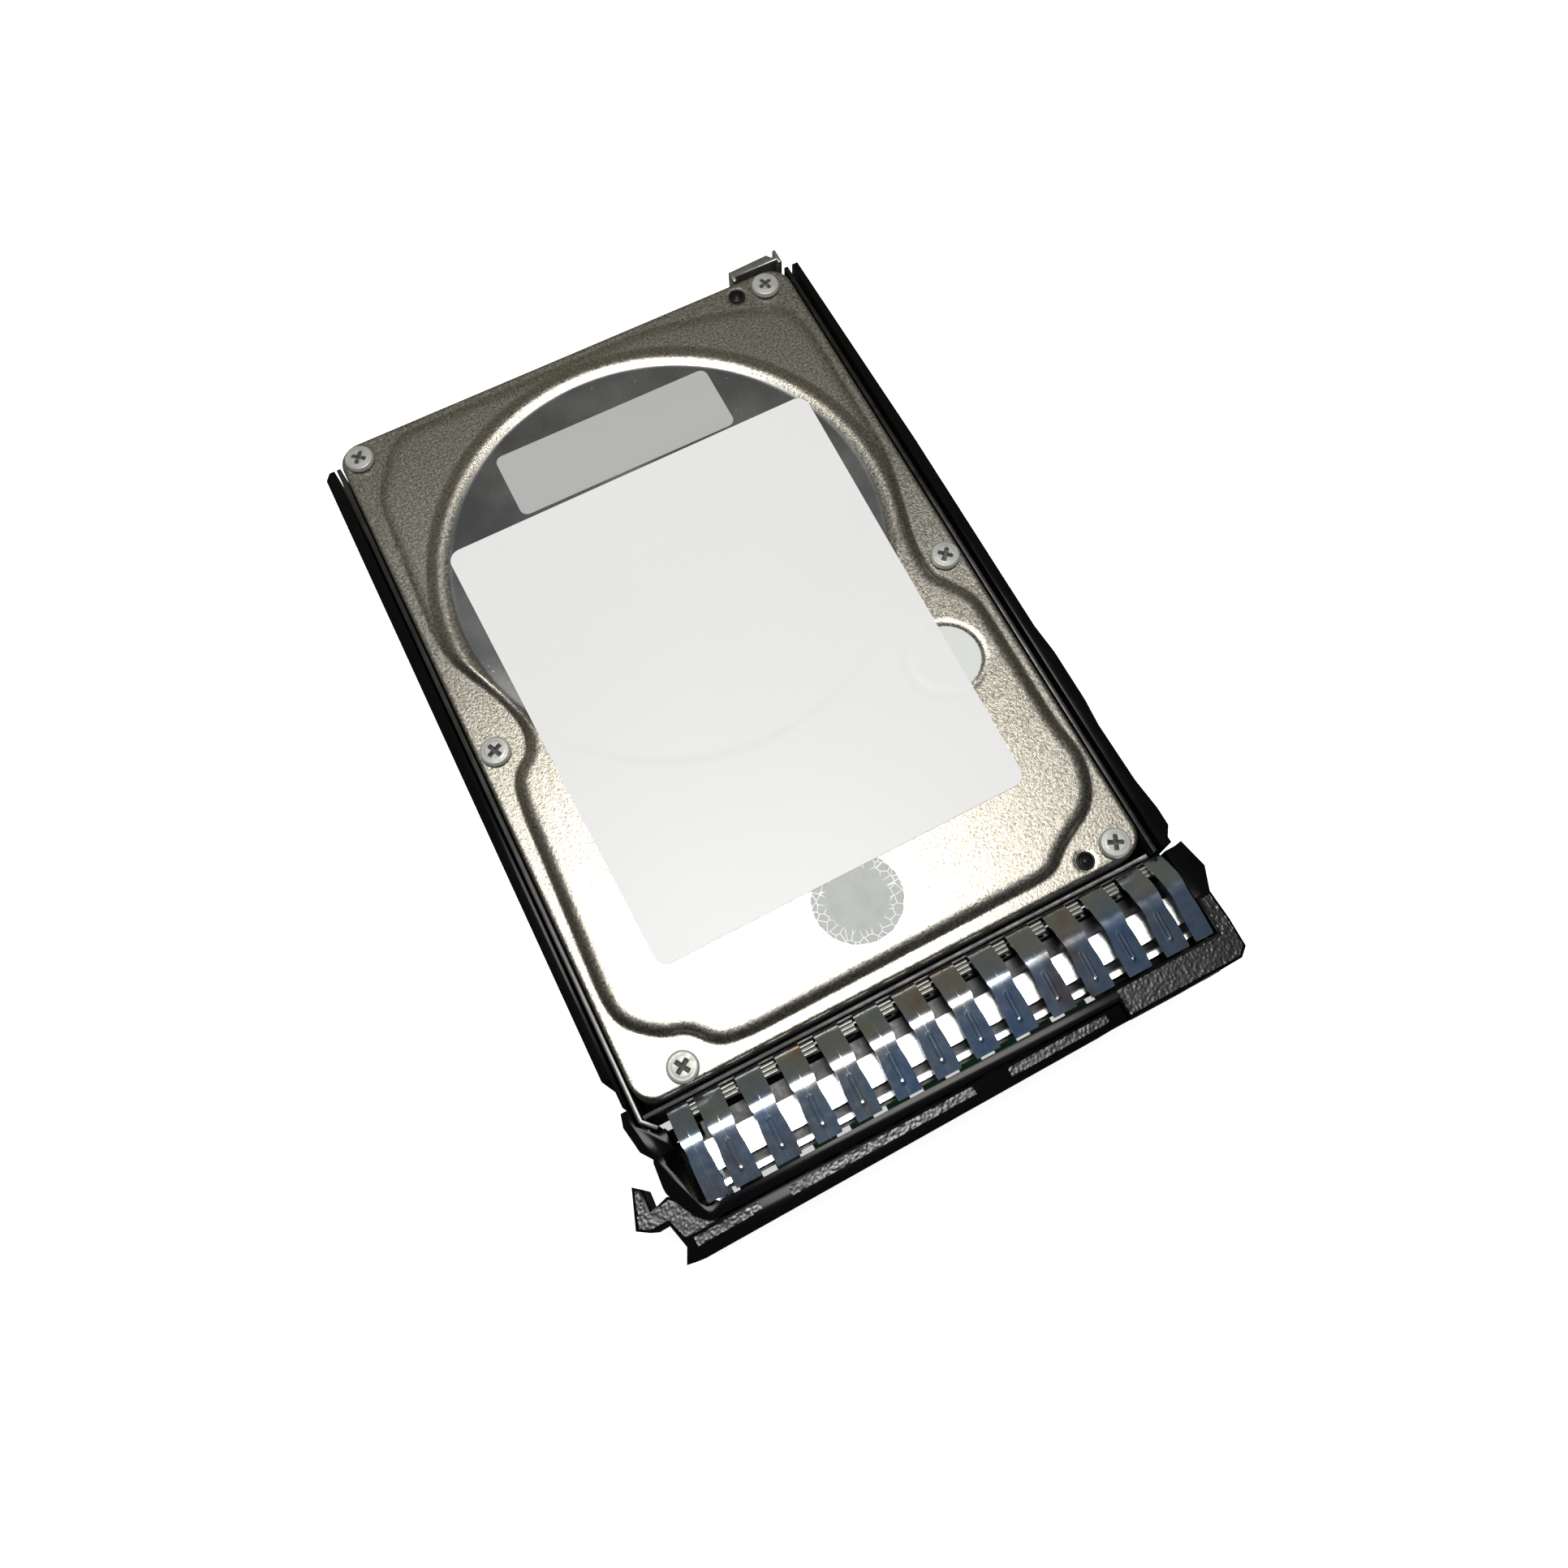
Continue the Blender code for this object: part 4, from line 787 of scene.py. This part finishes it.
def make_gap_plates():
    """In each gap a ridged clip, a bright plate and a narrow bar, all over one strip painted near-black as
    painted shade.

    The sideways tilt of the plates changes evenly from left to right.
    """
    clip_half = 0.80
    clips, plates = [], []
    for start in GAP_LEFTS:
        u, v = rounded_grid(0.85, clip_half, 0.15, 0.06)
        ridges = 0.14 * np.abs(np.sin((v + clip_half) / (2 * clip_half) * 3 * math.pi))
        top = np.stack([u + start + 0.90, v - 52.75, -1.25 + ridges + 0.12 * v], 2)
        clips.append(closed_grid(top, top - (0, 0, 0.3)))
        lean = 0.061 + 0.004 * start
        for half_length, along in ((1.85, -58.35), (0.45, -61.7)):
            u, v = rounded_grid(2.05, half_length, 0.3, 0.15)
            crown = -0.10 * np.clip(v / half_length - 0.2, 0, 1) ** 2
            top = np.stack([u + start + 1.45, v + along, -2.6 + lean * u - 0.07 * v + crown], 2)
            plates.append(closed_grid(top, top - (0, 0, 0.25)))
    points, faces = joined(clips)
    new_piece("gap_clips", points, faces, "bright_steel", material=MATERIALS["clip_steel"])
    points, faces = joined(plates)
    new_piece("gap_plates", points, faces, "shield_steel", material=MATERIALS["plate_steel"])
    u, v = rounded_grid(32.5, 4.9, 0.3, 0.6)
    top = np.stack([u + 3.1, v - 57.7, -3.6 + 0.02 * v], 2)
    points, faces = closed_grid(top, top - (0, 0, 0.2))
    # The strip deep in the gaps takes the near-black steel, as painted shade
    new_piece(
        "gap_strip", points, faces, "shield_steel", ["shield_inner_strip"],
        material=MATERIALS["dark_steel"])


# ---------------------------------------------------------------- textured plastic

def grain_height(x, y):
    """Leather-like grain: flat-topped cells with narrow valleys between them."""
    place = Vector((x, y, 0.0))
    nearest, second = noise.voronoi(place * 2.9)[0][:2]
    return 0.02 + 0.07 * min(1.0, (second - nearest) * 2.2) + 0.012 * noise.noise(place * 5)


def textured_pad(name, outline, z, body):
    """A patch of grained plastic that stands on a flat face, cut into small squares."""
    step = 0.15
    shape = bmesh.new()
    corners = [shape.verts.new((x, y, z)) for x, y in outline]
    shape.faces.new(corners)
    for axis, direction in enumerate((Vector((1, 0, 0)), Vector((0, 1, 0)))):
        low = min(point[axis] for point in outline)
        high = max(point[axis] for point in outline)
        for k in range(1, int((high - low) / step) + 1):
            bmesh.ops.bisect_plane(
                shape, geom=shape.verts[:] + shape.edges[:] + shape.faces[:],
                plane_co=direction * (low + k * step), plane_no=direction, dist=1e-5)
    extruded = bmesh.ops.extrude_face_region(shape, geom=shape.faces[:])
    for item in extruded["geom"]:
        if isinstance(item, bmesh.types.BMVert):
            item.co.z += grain_height(item.co.x, item.co.y)
    bmesh.ops.recalc_face_normals(shape, faces=shape.faces)
    points = [tuple(vertex.co) for vertex in shape.verts]
    shape.verts.index_update()
    faces = [[vertex.index for vertex in face.verts] for face in shape.faces]
    shape.free()
    new_piece(
        name, points, faces, "bezel_plastic", body=body, smooth_angle=70,
        material=MATERIALS["grain_plastic"])


def make_textured_pads():
    """Three strips on the lever, one patch on its hook and one on the bezel's block."""
    lever_top = 0.1
    for i, (left, right) in enumerate(((-35.4, -27.1), (-23.4, 0.9), (5.6, 19.1)), 1):
        textured_pad(
            f"lever_grain_{i}", [(left, -66.7), (right, -66.5), (right, -65.5), (left, -65.6)],
            lever_top, "latch_lever")
    textured_pad("block_grain", [
        (21.8, -66.9), (37.2, -66.9), (38.3, -66.0), (38.4, -62.6), (38.2, -58.8), (36.8, -58.8),
        (36.8, -63.7), (21.8, -63.7)], 0.2, "carrier")
    textured_pad("hook_grain", [
        (-37.2, -62.6), (-39.6, -62.6), (-40.7, -61.9), (-39.4, -58.0), (-39.0, -58.2),
        (-39.1, -61.1), (-36.3, -60.6), (-33.2, -63.1), (-32.0, -63.5), (-31.6, -64.9),
        (-33.2, -65.2), (-36.3, -65.2)], -0.8, "latch_lever")


# ---------------------------------------------------------------- the rest

def make_rounded_parts():
    """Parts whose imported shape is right, with their edges broken."""
    rounded_copy("hdd_base", 0.12, "casting")
    rounded_copy("cover_gasket", 0.05, "gasket_rubber")
    tray = rounded_copy("carrier_tray", 0.08, "sheet_steel")
    # All of the tray but its outer left edge takes the darker copy, as painted shade
    paint_where(tray, "tray_shade_steel", lambda place: place.x > -34.9)
    rounded_copy("left_rail", 0.15, "rail_plastic")
    rounded_copy("right_rail", 0.15, "rail_plastic")
    rounded_copy("front_bezel", 0.12, "bezel_plastic")
    rounded_copy("latch_lever", 0.15, "bezel_plastic", "latch_lever")
    clip = rounded_copy("rear_contact_clip", 0.1, "sheet_steel")
    clip.data.materials[0] = MATERIALS["bright_steel"]
    rounded_copy("sas_connector", 0.1, "bezel_plastic")


def paint_remaining():
    """Every CAD node that is still shown takes the material of its slot."""
    slot_of = {row["node"]: row["material_slot"] for row in frame["record"]["subparts"]}
    for name, node in NODES.items():
        if node.hide_render:
            continue
        node.data.materials.clear()
        node.data.materials.append(MATERIALS[slot_of[name]])


# ---------------------------------------------------------------- stage, light, camera

def make_floor():
    """A wide white floor that glows a little, so that shadows stay faint."""
    mesh = bpy.data.meshes.new("floor")
    z = ORIGIN.z + FLOOR_Z * MM - FLOOR_CLEARANCE
    corners = [(-1, -1), (1, -1), (1, 1), (-1, 1)]
    mesh.from_pydata([(x * FLOOR_REACH, y * FLOOR_REACH, z) for x, y in corners], [], [(0, 1, 2, 3)])
    mesh.materials.append(new_material(
        "floor", 0.0, 0.9, Base_Color=(0.98, 0.98, 0.98, 1), Emission_Color=(1, 1, 1, 1),
        Emission_Strength=0.6))
    floor = bpy.data.objects.new("floor", mesh)
    bpy.context.scene.collection.objects.link(floor)
    floor.visible_glossy = False


def make_world():
    """A pale studio. Shiny metal sees it darker than paper does, as it sees a room."""
    world = bpy.data.worlds.new("studio")
    world.use_nodes = True
    bpy.context.scene.world = world
    direction = add_node(world, "TexCoord").outputs["Generated"]
    split = add_node(world, "SeparateXYZ", {0: direction})
    walls = ramp(world, split.outputs["Y"], (0.0, DARK_FRONT), (0.7, PALE_REAR))
    overhead = remap(world, split.outputs["Z"], 0.75, 0.95)
    room = mix(world, overhead, walls, BLUE_CEILING)
    glossy = add_node(world, "LightPath").outputs["Is Glossy Ray"]
    seen = mix(world, glossy, STUDIO_WHITE, room)
    world.node_tree.links.new(seen, world.node_tree.nodes["Background"].inputs["Color"])


def make_softbox():
    """One slightly warm softbox, above the drive and a little behind it."""
    light = bpy.data.lights.new("key", "AREA")
    light.shape = "RECTANGLE"
    light.size, light.size_y = 0.17, 0.13
    light.energy = 1.05
    light.color = (1.0, 0.985, 0.96)
    lamp = bpy.data.objects.new("key", light)
    bpy.context.scene.collection.objects.link(lamp)
    lamp.location = (0.014, 0.045, 0.50)
    target = Vector((0, 0, 0.016))
    lamp.rotation_euler = (target - lamp.location).to_track_quat("-Z", "Y").to_euler()


def make_camera():
    """A camera close above the front edge, looking down and to the rear.

    The view transform keeps white as white.
    """
    data = bpy.data.cameras.new("camera")
    data.lens = 29.44
    data.sensor_width = 36.0
    data.clip_start = 0.005
    camera = bpy.data.objects.new("camera", data)
    bpy.context.scene.collection.objects.link(camera)
    right = Vector((0.88938, -0.45711, -0.00740))
    up = Vector((0.43467, 0.84048, 0.32351))
    back = Vector((-0.14166, -0.29093, 0.94620))
    turn = Matrix((right, up, back)).transposed().to_4x4()
    camera.matrix_world = Matrix.Translation(CAMERA_PLACE) @ turn
    bpy.context.scene.camera = camera
    bpy.context.scene.view_settings.view_transform = "Standard"


make_camera()
make_cover()
make_screws()
make_plugs()
make_labels()
make_seals()
make_fingers()
make_gap_plates()
make_textured_pads()
make_rounded_parts()
paint_remaining()
make_floor()
make_world()
make_softbox()
